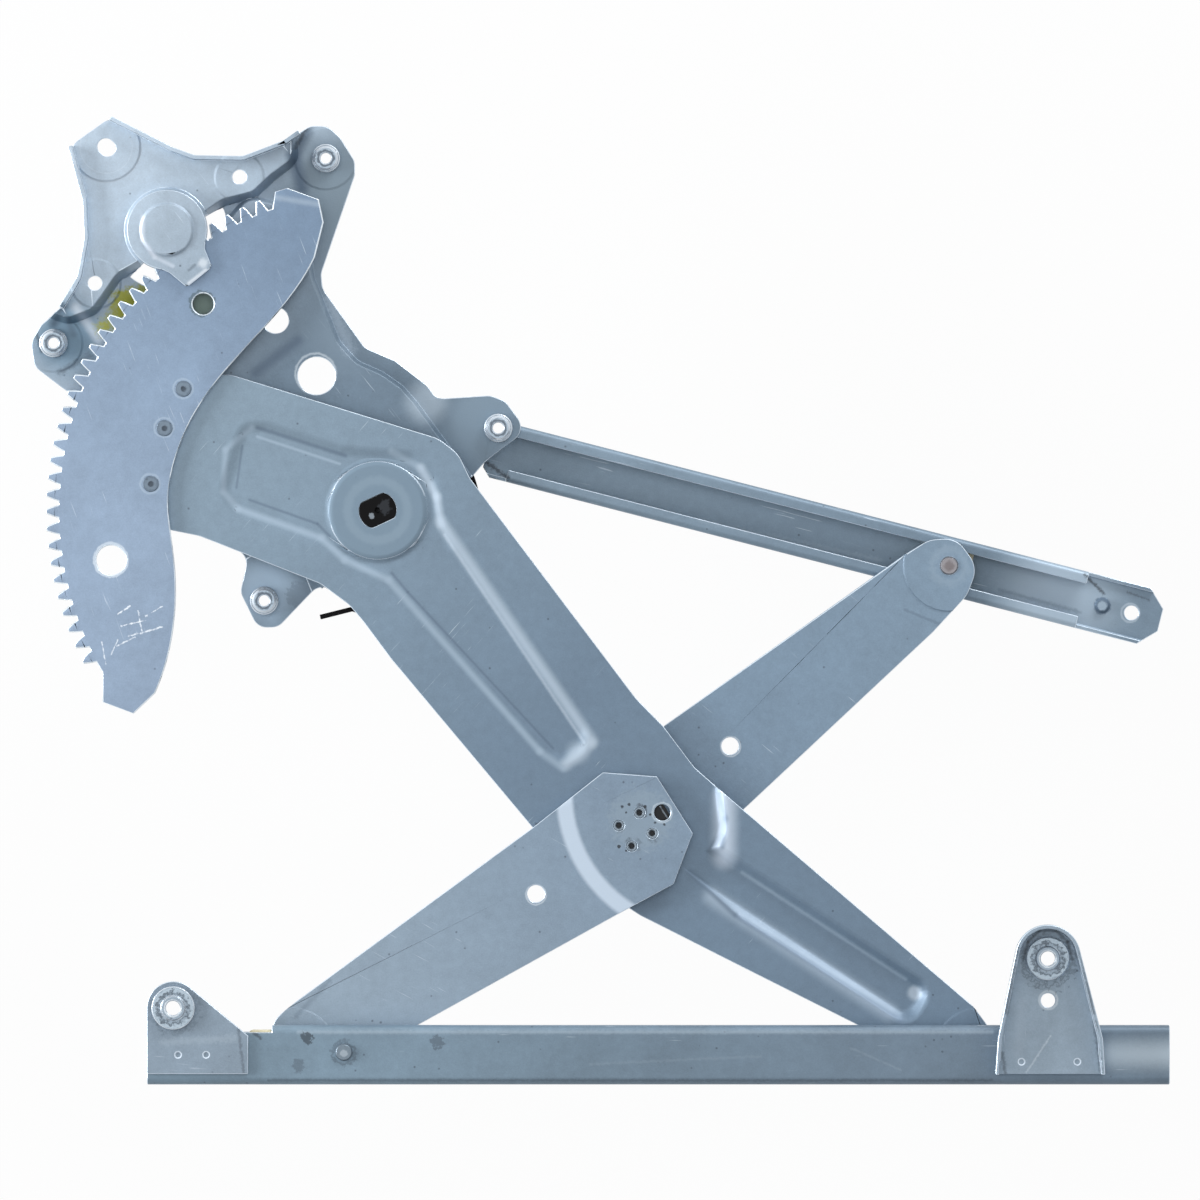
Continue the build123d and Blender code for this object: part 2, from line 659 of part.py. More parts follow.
# Upper rail, with its shoe and pin
rail_back = rail_front - rail_depth
rail_section = Plane(
    origin=(pivot_x + beyond(upper_end, -rail_left, rail_angle)[0],
            pivot_y + beyond(upper_end, -rail_left, rail_angle)[1], rail_front - rail_depth / 2),
    x_dir=(*point(1, rail_angle + 90), 0), z_dir=(*point(1, rail_angle), 0))
half_width = rail_width / 2
end_cut = 8.0
left_cut = 4.0
screw_cut = 10.8
tongue_edge = 2.0
rail_corners = [
    (left_cut - rail_left, -half_width), (rail_right - end_cut, -half_width), (rail_right, -half_width + end_cut),
    (rail_right, half_width - end_cut), (rail_right - end_cut, half_width), (screw_cut - rail_left, half_width),
    (-rail_left, half_width - screw_cut), (-rail_left, -half_width + left_cut),
]
with BuildPart() as upper_rail:
    with BuildSketch(rail_section):
        RectangleRounded(rail_width, rail_depth, 2.6)
        RectangleRounded(rail_width - 2 * rail_sheet, rail_depth - 2 * rail_sheet, 0.8, mode=Mode.SUBTRACT)
        with Locations((0, rail_depth / 2)):
            Rectangle(rail_slot, 3 * rail_sheet, mode=Mode.SUBTRACT)
    extrude(amount=rail_left + rail_right)
    # Only the floor and low edges run on past the lips, at both ends
    lip_ends = ((rail_lips_right, rail_right), (-rail_lips_left, -rail_left))
    for lips, tongue in lip_ends:
        with BuildSketch(turned(upper_end, rail_angle, rail_back + rail_sheet + tongue_edge)):
            with Locations(((lips + tongue) / 2, 0)):
                Rectangle(abs(tongue - lips), 2 * rail_width)
        extrude(amount=rail_depth, mode=Mode.SUBTRACT)
    # Its corners are cut off; the left end's upper one clears the panel nut's screw
    with BuildSketch(turned(upper_end, rail_angle, rail_back - 1)):
        with Locations(((rail_right - rail_left) / 2, 0)):
            Rectangle(rail_right + rail_left + 2, 2 * rail_width)
        with BuildLine():
            Polyline(*rail_corners, close=True)
        make_face(mode=Mode.SUBTRACT)
    extrude(amount=rail_depth + 2, mode=Mode.SUBTRACT)
    with BuildSketch(turned(upper_end, rail_angle, rail_back + rail_sheet)):
        with Locations((rail_stop_place, 0)):
            Circle(3.7)
    extrude(amount=2.2, taper=30)
    with BuildSketch(turned(upper_end, rail_angle, rail_back - 1)):
        with Locations((rail_hole_place, 0)):
            Circle(rail_hole)
    extrude(amount=rail_depth, mode=Mode.SUBTRACT)
upper_rail.part.label = "upper_rail"
export_step(upper_rail.part, "parts/upper_rail.step")

upper_shoe_back = rail_back + rail_sheet + shoe_play
upper_shoe_front = rail_front - rail_sheet - shoe_play
with BuildPart() as upper_shoe:
    with BuildSketch(turned(upper_end, rail_angle, upper_shoe_back)):
        RectangleRounded(rail_shoe_length, rail_width - 2 * rail_sheet - 2 * shoe_play, 2.0)
        Circle(pin_radius - 0.5 + play, mode=Mode.SUBTRACT)
    extrude(amount=upper_shoe_front - upper_shoe_back)
upper_shoe.part.label = "upper_shoe"
export_step(upper_shoe.part, "parts/upper_shoe.step")

with BuildPart() as upper_pin:
    with BuildSketch(turned(upper_end, 0, upper_shoe_back + 0.4)):
        Circle(pin_radius - 0.5)
    extrude(amount=upper_tip_front + tip_raise - upper_shoe_back - 0.4)
    with BuildSketch(turned(upper_end, 0, upper_tip_front + tip_raise)):
        Circle(pin_radius - 0.5)
    extrude(amount=0.6, taper=35)
upper_pin.part.label = "upper_pin"
export_step(upper_pin.part, "parts/upper_pin.step")

# Glass channel, its shoes and pins
stop_place = (left_end[0] + channel_stop_place[0], left_end[1] + channel_stop_place[1])
stop_stem = 2.5
channel_front = channel_back + channel_depth
channel_plane = Plane(
    origin=(pivot_x + left_end[0] - channel_left, pivot_y + left_end[1], channel_back + channel_depth / 2),
    x_dir=(0, 1, 0), z_dir=(1, 0, 0))
with BuildPart() as glass_channel:
    with BuildSketch(channel_plane):
        RectangleRounded(channel_width, channel_depth, 3.6)
        RectangleRounded(channel_width - 2 * rail_sheet, channel_depth - 2 * rail_sheet, 1.8, mode=Mode.SUBTRACT)
        with Locations((0, -channel_depth / 2)):
            Rectangle(channel_slot, 3 * rail_sheet, mode=Mode.SUBTRACT)
    extrude(amount=channel_left + channel_right)
    with BuildSketch(turned(left_end, 0, channel_back - 1)):
        with Locations((-channel_left / 2 - 9.0, channel_width / 2)):
            Rectangle(channel_left, 6.4)
    extrude(amount=channel_depth + 2, mode=Mode.SUBTRACT)
    with BuildSketch(turned(stop_place, 0, channel_back)):
        Circle(stop_stem + play)
    extrude(amount=channel_depth + 2, mode=Mode.SUBTRACT)
glass_channel.part.label = "glass_channel"
export_step(glass_channel.part, "parts/glass_channel.step")

with BuildPart() as channel_stop:
    with BuildSketch(turned(stop_place, 0, channel_front)):
        Circle(channel_stop_radius)
    extrude(amount=1.8, taper=12)
    with BuildSketch(turned(stop_place, 0, channel_front)):
        Circle(stop_stem)
    extrude(amount=-rail_sheet - 3.0)
channel_stop.part.label = "channel_stop"
export_step(channel_stop.part, "parts/channel_stop.step")

shoe_width = channel_width - 2 * rail_sheet - 2 * shoe_play
shoe_back = channel_back + rail_sheet + shoe_play
shoe_front = channel_front - rail_sheet - shoe_play
with BuildPart() as left_shoe:
    with BuildSketch(turned(left_end, 0, shoe_back)):
        RectangleRounded(channel_shoe_length, shoe_width, 2.5)
    extrude(amount=shoe_front - shoe_back)
    fillet(left_shoe.edges().filter_by(Axis.X), radius=1.6)
    with BuildSketch(turned(left_end, 0, shoe_back)):
        Circle(pin_radius + play)
    extrude(amount=shoe_front - shoe_back, mode=Mode.SUBTRACT)
left_shoe.part.label = "left_shoe"
export_step(left_shoe.part, "parts/left_shoe.step")

with BuildPart() as right_shoe:
    with BuildSketch(turned(right_end, 0, shoe_back)):
        RectangleRounded(channel_shoe_length, shoe_width, 2.5)
    extrude(amount=shoe_front - shoe_back)
    fillet(right_shoe.edges().filter_by(Axis.X), radius=1.6)
    with BuildSketch(turned(right_end, 0, shoe_back)):
        Circle(pin_radius + play)
    extrude(amount=shoe_front - shoe_back, mode=Mode.SUBTRACT)
right_shoe.part.label = "right_shoe"
export_step(right_shoe.part, "parts/right_shoe.step")

arm_tip_back = tip_back + tip_raise
with BuildPart() as left_pin:
    with BuildSketch(turned(left_end, 0, arm_tip_back)):
        Circle(pin_radius)
    extrude(amount=shoe_front - 0.4 - arm_tip_back)
    with BuildSketch(turned(left_end, 0, arm_tip_back)):
        Circle(pin_head_radius)
    extrude(amount=-pin_head)
left_pin.part.label = "left_pin"
export_step(left_pin.part, "parts/left_pin.step")

with BuildPart() as right_pin:
    with BuildSketch(turned(right_end, 0, arm_tip_back)):
        Circle(pin_radius)
    extrude(amount=shoe_front - 0.4 - arm_tip_back)
    with BuildSketch(turned(right_end, 0, arm_tip_back)):
        Circle(pin_head_radius)
    extrude(amount=-pin_head)
right_pin.part.label = "right_pin"
export_step(right_pin.part, "parts/right_pin.step")

# Glass brackets, spot welded to the channel's front, with a nut in each
bracket_foot = left_end[1] - channel_width / 2 + 5.0
left_nut = (left_end[0] + left_nut_place[0], left_end[1] + left_nut_place[1])
right_nut = (left_end[0] + right_nut_place[0], left_end[1] + right_nut_place[1])
right_hole = (left_end[0] + right_hole_place[0], left_end[1] + right_hole_place[1])
left_round = 12.1
left_wide = 46.4
with BuildPart() as left_bracket:
    with BuildSketch(level(channel_front)):
        with Locations(left_nut):
            Circle(left_round)
        with Locations((left_nut[0] + left_wide / 2 - left_round, bracket_foot + 8.8)):
            Rectangle(left_wide, 17.6)
        make_hull()
        with Locations(left_nut):
            Circle(bracket_nut_hole + 1.0, mode=Mode.SUBTRACT)
    extrude(amount=bracket_sheet)
    with BuildSketch(level(channel_front + bracket_sheet)):
        with Locations((left_nut[0] + 2.2, left_end[1] + 0.2), (left_nut[0] + 15.1, left_end[1] + 0.2)):
            Circle(spot_weld)
    extrude(amount=-0.6, mode=Mode.SUBTRACT)
left_bracket.part.label = "left_bracket"
export_step(left_bracket.part, "parts/left_bracket.step")

bracket_wall = 8.0
right_round = 15.0
right_foot = [
    (right_nut[0] - 24.1, bracket_foot), (right_nut[0] + 26.1, bracket_foot),
    (right_nut[0] + 25.0, left_end[1] + 8.0), (right_nut[0] - 22.9, left_end[1] + 8.0),
]
with BuildPart() as right_bracket:
    with BuildSketch(level(channel_front)):
        with Locations((right_nut[0], right_nut[1] + 0.5)):
            Circle(right_round)
        with BuildLine():
            Polyline(*right_foot, close=True)
        make_face()
        make_hull()
    extrude(amount=bracket_sheet + bracket_wall)
    with BuildSketch(level(channel_front + bracket_sheet)):
        with Locations((right_nut[0], right_nut[1] + 0.5)):
            Circle(right_round)
        with BuildLine():
            Polyline(*right_foot, close=True)
        make_face()
        make_hull()
        offset(amount=-bracket_sheet)
        with Locations((right_nut[0] + 1.0, bracket_foot)):
            Rectangle(46.5, 12)
    extrude(amount=bracket_wall, mode=Mode.SUBTRACT)
    with BuildSketch(level(channel_front)):
        with Locations(right_nut):
            Circle(bracket_nut_hole + 1.0)
        with Locations(right_hole):
            Circle(bracket_nut_hole)
    extrude(amount=bracket_sheet, mode=Mode.SUBTRACT)
    with BuildSketch(level(channel_front + bracket_sheet)):
        with Locations((right_nut[0] - 12.0, left_end[1] - 3.0), (right_nut[0] + 13.6, left_end[1] - 3.0)):
            Circle(spot_weld)
    extrude(amount=-0.6, mode=Mode.SUBTRACT)
right_bracket.part.label = "right_bracket"
export_step(right_bracket.part, "parts/right_bracket.step")

with BuildPart() as bracket_nuts:
    for place in (left_nut, right_nut):
        with BuildSketch(turned(place, 0, channel_front + bracket_sheet)):
            Circle(bracket_nut_collar)
            Circle(bracket_nut_hole, mode=Mode.SUBTRACT)
        extrude(amount=2.6)
        with BuildSketch(turned(place, 0, channel_front + bracket_sheet + 2.6)):
            Circle(bracket_nut_hole + 2.2)
            Circle(bracket_nut_hole, mode=Mode.SUBTRACT)
        extrude(amount=1.2)
bracket_nuts.part.label = "bracket_nuts"
export_step(bracket_nuts.part, "parts/bracket_nuts.step")
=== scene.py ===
import json
from math import radians

import bmesh
import bpy
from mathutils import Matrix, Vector

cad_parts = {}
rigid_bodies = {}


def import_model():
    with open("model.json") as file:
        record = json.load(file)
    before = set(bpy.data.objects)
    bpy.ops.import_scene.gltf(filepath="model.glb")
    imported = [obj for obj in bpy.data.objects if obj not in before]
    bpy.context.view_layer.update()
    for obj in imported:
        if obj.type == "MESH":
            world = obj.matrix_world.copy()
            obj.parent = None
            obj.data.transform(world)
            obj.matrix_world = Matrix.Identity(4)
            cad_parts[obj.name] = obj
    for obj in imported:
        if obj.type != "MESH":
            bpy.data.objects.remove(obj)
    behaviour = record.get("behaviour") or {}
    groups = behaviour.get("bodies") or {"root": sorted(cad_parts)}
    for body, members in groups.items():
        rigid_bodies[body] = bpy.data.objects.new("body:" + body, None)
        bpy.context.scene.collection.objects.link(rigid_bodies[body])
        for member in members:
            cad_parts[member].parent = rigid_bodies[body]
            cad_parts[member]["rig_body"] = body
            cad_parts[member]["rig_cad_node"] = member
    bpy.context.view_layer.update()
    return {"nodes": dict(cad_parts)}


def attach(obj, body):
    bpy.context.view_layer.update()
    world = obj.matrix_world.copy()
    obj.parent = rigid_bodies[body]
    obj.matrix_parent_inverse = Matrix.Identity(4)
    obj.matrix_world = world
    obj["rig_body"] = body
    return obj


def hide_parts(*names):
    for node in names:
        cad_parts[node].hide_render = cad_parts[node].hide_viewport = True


bl_info = {
    "name": "Window Regulator",
    "version": (1, 0, 0),
    "blender": (4, 5, 0),
    "location": "3D View > Sidebar > Regulator",
    "description": "Dresses a cross-arm window regulator in zinc-plated steel",
    "category": "Object",
}

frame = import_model()

ORIGIN_ACROSS = 264.4
ORIGIN_DOWN = 600.6
PIXELS_PER_METRE = 2170.0
PICTURE_WIDTH = 1200


def seen(across, down):
    """A place in the frame's plane, from its place in the picture."""
    return ((across - ORIGIN_ACROSS) / PIXELS_PER_METRE, (ORIGIN_DOWN - down) / PIXELS_PER_METRE)


def flat(place):
    """A place in the picture as a point of the frame's plane."""
    return (*seen(*place), 0.0)


def tone(red, green, blue):
    """A linear colour from a printed one of 0 to 255."""
    channels = []
    for value in (red, green, blue):
        share = value / 255
        channels.append(share / 12.92 if share <= 0.04045 else ((share + 0.055) / 1.055) ** 2.4)
    return (*channels, 1.0)


# Features of the object, as they stand in the picture: across and down in its pixels

LOWER_NUT = (264.4, 600.6)
RIGHT_NUT = (498.2, 428.1)
TOP_NUT = (325.9, 158.6)
LEFT_NUT = (53.8, 343.2)
TOP_HOLE = (107, 148)
MOTOR_HOLES = ((240, 178), (96.5, 284))
ROUND_HOLE = (316, 374)
GEAR_HOLE = (203, 304)
SECTOR_HOLE = (112, 560)
SECTOR_JOINTS = ((184.2, 389.2), (165.3, 428.5), (151.7, 484.0))
SHAFT = (378, 510.5)
UPPER_TIP = (949, 566)
LEFT_TIP = (293, 1053)
RIGHT_TIP = (978, 1053)
UPPER_HOLE = (730.5, 746.5)
LOWER_HOLE = (536, 894)
PRESSED_ARC = (703.3, 792.5)
CENTRE_BUSH = (662.5, 811.5)
CENTRE_RIVETS = ((651.9, 832.6), (631.5, 845.3), (618.7, 824.9), (639.2, 812.1))
RAIL_DIMPLE = (1103, 606)
RAIL_HOLE = (1131, 613)
CHANNEL_STOP = (345, 1051)
GLASS_NUTS = ((175.3, 1006.0), (1045.4, 956.7))
BRACKET_HOLE = (1046, 998)


# Radii in millimetres

TIP_RING = 21.0
JOINT_RADIUS = 3.75


# Colours that several pieces share

HOLE_RIM = tone(206, 218, 228)
# Painted highlight on the edges of pressed pads
PAD_EDGE_HIGHLIGHT = tone(206, 219, 232)
BARE_METAL = tone(205, 219, 232)
NUT_EDGE = tone(206, 216, 226)
NYLON = tone(214, 206, 176)
SPECK = tone(60, 70, 82)


# Shader tools

FLOAT = "NodeSocketFloat"
VECTOR = "NodeSocketVector"
COLOUR = "NodeSocketColor"


def put(tree, kind, inputs=None, **settings):
    """A node with its settings and inputs, an input being a number, a colour or another node's socket."""
    node = tree.nodes.new(kind)
    for key, value in settings.items():
        setattr(node, key, value)
    for key, value in (inputs or {}).items():
        if isinstance(value, bpy.types.NodeSocket):
            tree.links.new(value, node.inputs[key])
        else:
            node.inputs[key].default_value = value
    return node


def sums(tree, operation, *values, clamp=False):
    """A math node's result."""
    node = put(tree, "ShaderNodeMath", dict(enumerate(values)), operation=operation, use_clamp=clamp)
    return node.outputs[0]


def soft_step(tree, value, low, high):
    """0 below low and 1 above high, with a smooth rise."""
    node = put(tree, "ShaderNodeMapRange", {"Value": value, "From Min": low, "From Max": high},
               interpolation_type="SMOOTHSTEP")
    return node.outputs["Result"]


def blend(tree, share, first, second):
    """Two colours mixed by a share."""
    node = put(tree, "ShaderNodeMix", data_type="RGBA")
    for index, value in ((0, share), (6, first), (7, second)):
        if isinstance(value, bpy.types.NodeSocket):
            tree.links.new(value, node.inputs[index])
        else:
            node.inputs[index].default_value = value
    return node.outputs[2]


def new_group(title, inputs, outputs):
    """An empty node group with its sockets, its input node and its output node."""
    group = bpy.data.node_groups.new(title, "ShaderNodeTree")
    for name, kind, default in inputs:
        socket = group.interface.new_socket(name=name, in_out="INPUT", socket_type=kind)
        socket.default_value = default
    for name, kind in outputs:
        group.interface.new_socket(name=name, in_out="OUTPUT", socket_type=kind)
    return group, group.nodes.new("NodeGroupInput"), group.nodes.new("NodeGroupOutput")


def noise(tree, place, scale, detail=3.0, rough=0.55):
    """Smooth noise from 0 to 1."""
    node = put(tree, "ShaderNodeTexNoise",
               {"Vector": place, "Scale": scale, "Detail": detail, "Roughness": rough})
    return node.outputs["Fac"]


def flat_place(tree):
    """The object's own coordinates, pressed flat."""
    place = put(tree, "ShaderNodeTexCoord").outputs["Object"]
    return put(tree, "ShaderNodeVectorMath", {0: place, 1: (1.0, 1.0, 0.0)}, operation="MULTIPLY").outputs[0]


def zinc_grain():
    """Zinc plating's fine grain and broad cloudiness: a colour, a roughness and a height."""
    group, given, result = new_group(
        "Zinc Grain",
        [("Colour", COLOUR, (0.3, 0.4, 0.5, 1.0)), ("Cloud", FLOAT, 0.5), ("Grain", FLOAT, 0.5),
         ("Roughness", FLOAT, 0.4)],
        [("Colour", COLOUR), ("Roughness", FLOAT), ("Height", FLOAT)])
    place = put(group, "ShaderNodeTexCoord").outputs["Object"]
    fine = sums(group, "SUBTRACT", noise(group, place, 1500.0, 2.0), 0.5)
    middle = sums(group, "SUBTRACT", noise(group, place, 240.0, 4.0, 0.6), 0.5)
    broad = sums(group, "SUBTRACT", noise(group, place, 26.0, 5.0, 0.6), 0.5)
    both = sums(group, "ADD", fine, middle)
    grain = sums(group, "MULTIPLY", both, sums(group, "MULTIPLY", given.outputs["Grain"], 0.5))
    cloud = sums(group, "MULTIPLY", broad, sums(group, "MULTIPLY", given.outputs["Cloud"], 0.8))
    value = sums(group, "ADD", 1.0, sums(group, "ADD", grain, cloud))
    shade = put(group, "ShaderNodeHueSaturation", {"Color": given.outputs["Colour"], "Value": value})
    rough = sums(group, "ADD", given.outputs["Roughness"], sums(group, "MULTIPLY", broad, 0.25), clamp=True)
    group.links.new(shade.outputs["Color"], result.inputs["Colour"])
    group.links.new(rough, result.inputs["Roughness"])
    group.links.new(both, result.inputs["Height"])
    return group


def spot_mask():
    """A round mark or a ring with broken edges."""
    group, given, result = new_group(
        "Spot",
        [("Centre", VECTOR, (0.0, 0.0, 0.0)), ("Radius", FLOAT, 0.005), ("Hollow", FLOAT, 0.0),
         ("Softness", FLOAT, 0.001), ("Breakup", FLOAT, 0.3)],
        [("Mask", FLOAT)])
    place = flat_place(group)
    away = put(group, "ShaderNodeVectorMath", {0: place, 1: given.outputs["Centre"]}, operation="DISTANCE")
    away = away.outputs["Value"]
    ragged = sums(group, "SUBTRACT", noise(group, place, 420.0, 4.0, 0.65), 0.5)
    broken = sums(group, "MULTIPLY", ragged, given.outputs["Breakup"])
    push = sums(group, "MULTIPLY", broken, given.outputs["Radius"])
    away = sums(group, "ADD", away, sums(group, "MULTIPLY", push, 3.0))
    inner = sums(group, "SUBTRACT", given.outputs["Radius"], given.outputs["Softness"])
    outside = soft_step(group, away, inner, given.outputs["Radius"])
    hollow_end = sums(group, "ADD", given.outputs["Hollow"], given.outputs["Softness"])
    inside = soft_step(group, away, given.outputs["Hollow"], hollow_end)
    full = sums(group, "LESS_THAN", given.outputs["Hollow"], 0.00001)
    inside = sums(group, "MAXIMUM", inside, full)
    mask = sums(group, "MULTIPLY", sums(group, "SUBTRACT", 1.0, outside), inside, clamp=True)
    group.links.new(mask, result.inputs["Mask"])
    return group


def streak_mask():
    """A line mark between two places, and the share of the way along it; it draws rubs and dirt, and painted
    highlights and painted shade.
    """
    group, given, result = new_group(
        "Streak",
        [("Start", VECTOR, (0.0, 0.0, 0.0)), ("End", VECTOR, (0.01, 0.0, 0.0)), ("Width", FLOAT, 0.001),
         ("Breakup", FLOAT, 0.4)],
        [("Mask", FLOAT), ("Along", FLOAT)])
    place = flat_place(group)

    def vector(operation, first, second, output="Vector"):
        node = put(group, "ShaderNodeVectorMath", {0: first, 1: second}, operation=operation)
        return node.outputs[output]

    run = vector("SUBTRACT", given.outputs["End"], given.outputs["Start"])
    reach = vector("SUBTRACT", place, given.outputs["Start"])
    part = vector("DOT_PRODUCT", reach, run, "Value")
    whole = vector("DOT_PRODUCT", run, run, "Value")
    along = sums(group, "DIVIDE", part, whole, clamp=True)
    carried = put(group, "ShaderNodeVectorMath", {0: run, "Scale": along}, operation="SCALE").outputs[0]
    nearest = vector("ADD", given.outputs["Start"], carried)
    away = vector("DISTANCE", place, nearest, "Value")
    ragged = sums(group, "SUBTRACT", noise(group, place, 600.0, 4.0, 0.7), 0.5)
    broken = sums(group, "MULTIPLY", ragged, given.outputs["Breakup"])
    push = sums(group, "MULTIPLY", broken, given.outputs["Width"])
    away = sums(group, "ADD", away, sums(group, "MULTIPLY", push, 4.0))
    mask = sums(group, "SUBTRACT", 1.0, soft_step(group, away, 0.0, given.outputs["Width"]))
    group.links.new(mask, result.inputs["Mask"])
    group.links.new(along, result.inputs["Along"])
    return group


def scuff_mask():
    """Long fine rub marks in one direction."""
    group, given, result = new_group(
        "Scuffs",
        [("Turn", FLOAT, 0.0), ("Amount", FLOAT, 0.3)],
        [("Mask", FLOAT)])
    place = put(group, "ShaderNodeTexCoord").outputs["Object"]
    turned = put(group, "ShaderNodeVectorRotate", {"Vector": place, "Angle": given.outputs["Turn"]},
                 rotation_type="Z_AXIS").outputs[0]
    drawn = put(group, "ShaderNodeVectorMath", {0: turned, 1: (1.0, 26.0, 1.0)}, operation="MULTIPLY")
    lines = noise(group, drawn.outputs["Vector"], 60.0, 2.0, 0.4)
    patches = noise(group, place, 34.0, 3.0, 0.5)
    low = sums(group, "SUBTRACT", 0.74, sums(group, "MULTIPLY", given.outputs["Amount"], 0.12))
    mask = sums(group, "MULTIPLY", soft_step(group, lines, low, sums(group, "ADD", low, 0.05)),
                soft_step(group, patches, 0.5, 0.62))
    group.links.new(mask, result.inputs["Mask"])
    return group


def speck_mask():
    """Scattered specks of dirt."""
    group, given, result = new_group(
        "Specks",
        [("Scale", FLOAT, 300.0), ("Amount", FLOAT, 0.3)],
        [("Mask", FLOAT)])
    place = put(group, "ShaderNodeTexCoord").outputs["Object"]
    cells = put(group, "ShaderNodeTexVoronoi", {"Vector": place, "Scale": given.outputs["Scale"]})
    lot = put(group, "ShaderNodeSeparateColor", {"Color": cells.outputs["Color"]}).outputs[0]
    chosen = sums(group, "LESS_THAN", lot, sums(group, "MULTIPLY", given.outputs["Amount"], 0.2))
    size = sums(group, "SUBTRACT", 1.0, soft_step(group, cells.outputs["Distance"], 0.06, 0.2))
    group.links.new(sums(group, "MULTIPLY", chosen, size), result.inputs["Mask"])
    return group


groups = {}


def group_node(tree, title, **values):
    """One of the shared groups, with its own values."""
    node = tree.nodes.new("ShaderNodeGroup")
    node.node_tree = groups[title]
    for key, value in values.items():
        node.inputs[key].default_value = value
    return node


def spot(place, radius, colour, strength=1.0, hollow=0.0, softness=None, breakup=0.25):
    """A round mark for a finish at a place of the picture, its sizes in millimetres."""
    softness = radius * 0.3 if softness is None else softness
    values = {"Centre": flat(place), "Radius": radius / 1000, "Hollow": hollow / 1000,
              "Softness": softness / 1000, "Breakup": breakup}
    return ("Spot", "Mask", values, colour, strength)


def pressed(place, radius, lift, slope=1.5, hollow=0.0):
    """A shallow round pad in a sheet, its sizes in millimetres."""
    return spot(place, radius, None, lift, hollow=hollow, softness=slope, breakup=0.0)


def rim(place, outer, inner, colour=HOLE_RIM, strength=0.6, softness=0.6, breakup=0.06):
    """A ring between two radii in millimetres, such as the light round a hole."""
    return spot(place, outer, colour, strength, hollow=inner, softness=softness, breakup=breakup)


def streak(path, width, colour, strength=1.0, breakup=0.4):
    """A line mark along a path in the picture, as one mark a stretch, for rubs and dirt and for painted
    highlights and painted shade; its width is in millimetres.
    """
    marks = []
    for start, end in zip(path, path[1:]):
        values = {"Start": flat(start), "End": flat(end), "Width": width / 1000, "Breakup": breakup}
        marks.append(("Streak", "Mask", values, colour, strength))
    return marks


def streaks(rows, colour):
    """Rubbed lines of one colour, each row with its start, end, width, strength and breakup."""
    marks = []
    for start, end, width, strength, breakup in rows:
        marks += streak((start, end), width, colour, strength, breakup)
    return marks


def fade(start, end, colour, strength=1.0):
    """A colour that changes along a line from one place of the picture to another, used for the pieces'
    painted shade.
    """
    return ("Streak", "Along", {"Start": flat(start), "End": flat(end)}, colour, strength)


def plated(name, colour, marks=(), roughness=0.46, metal=0.3, shine=0.5, cloud=0.5, scuffs=0.35, turn=0.6,
           dirt=0.3, reliefs=()):
    """Zinc-plated steel with grain, rub marks, specks and the marks of its own places."""
    material = bpy.data.materials.new(name)
    material.use_nodes = True
    tree = material.node_tree
    shader = tree.nodes["Principled BSDF"]
    grain_node = group_node(tree, "Zinc Grain", Cloud=cloud, Roughness=roughness)
    paint = colour
    for title, output, values, shade, strength in (mark for mark in marks if mark[1] == "Along"):
        share = sums(tree, "MULTIPLY", group_node(tree, title, **values).outputs[output], strength)
        paint = blend(tree, share, paint, shade)
    if isinstance(paint, bpy.types.NodeSocket):
        tree.links.new(paint, grain_node.inputs["Colour"])
    else:
        grain_node.inputs["Colour"].default_value = paint
    surface = grain_node.outputs["Colour"]
    rub = sums(tree, "MULTIPLY", group_node(tree, "Scuffs", Turn=turn, Amount=scuffs).outputs["Mask"], 0.5)
    surface = blend(tree, rub, surface, BARE_METAL)
    dust = sums(tree, "MULTIPLY", group_node(tree, "Specks", Scale=260.0, Amount=dirt).outputs["Mask"], 0.6)
    surface = blend(tree, dust, surface, SPECK)
    for title, output, values, shade, strength in (mark for mark in marks if mark[1] == "Mask"):
        share = sums(tree, "MULTIPLY", group_node(tree, title, **values).outputs[output], strength)
        surface = blend(tree, share, surface, shade)
    tree.links.new(surface, shader.inputs["Base Color"])
    tree.links.new(grain_node.outputs["Roughness"], shader.inputs["Roughness"])
    shader.inputs["Metallic"].default_value = metal
    shader.inputs["Specular IOR Level"].default_value = shine
    relief = put(tree, "ShaderNodeBump", {"Height": grain_node.outputs["Height"], "Strength": 0.15,
                                          "Distance": 0.0003})
    if reliefs:
        height = 0.0
        for title, output, values, _, lift in reliefs:
            rise = sums(tree, "MULTIPLY", group_node(tree, title, **values).outputs[output], lift)
            height = sums(tree, "ADD", height, rise)
        pads = put(tree, "ShaderNodeBump", {"Height": height, "Strength": 1.0, "Distance": 0.001})
        tree.links.new(pads.outputs["Normal"], relief.inputs["Normal"])
    tree.links.new(relief.outputs["Normal"], shader.inputs["Normal"])
    return material


def plain(name, colour, roughness, metal=0.0, grain=0.4, shine=0.5):
    """A small part's finish: one colour with fine grain."""
    material = bpy.data.materials.new(name)
    material.use_nodes = True
    tree = material.node_tree
    shader = tree.nodes["Principled BSDF"]
    grain_node = group_node(tree, "Zinc Grain", Colour=colour, Cloud=0.5, Grain=grain, Roughness=roughness)
    tree.links.new(grain_node.outputs["Colour"], shader.inputs["Base Color"])
    tree.links.new(grain_node.outputs["Roughness"], shader.inputs["Roughness"])
    shader.inputs["Metallic"].default_value = metal
    shader.inputs["Specular IOR Level"].default_value = shine
    relief = put(tree, "ShaderNodeBump", {"Height": grain_node.outputs["Height"], "Strength": 0.2,
                                          "Distance": 0.0002})
    tree.links.new(relief.outputs["Normal"], shader.inputs["Normal"])
    return material


def bare_edge(name, look):
    """The bright metal of a sheet's sheared edges."""
    return plain(name, full(look.edge), 0.35, metal=0.6)


# Modelling tools

BEND_ANGLE = 14
CUT_ANGLE = 75
FLAT_ANGLE = 181
SMOOTH_ANGLE = 32
FACET_ANGLE = 0.6
RING_ROUNDING = 0.0004
RING_REACH = 0.4
KEPT_REACH = 0.2
WELD_REACH = 0.00001


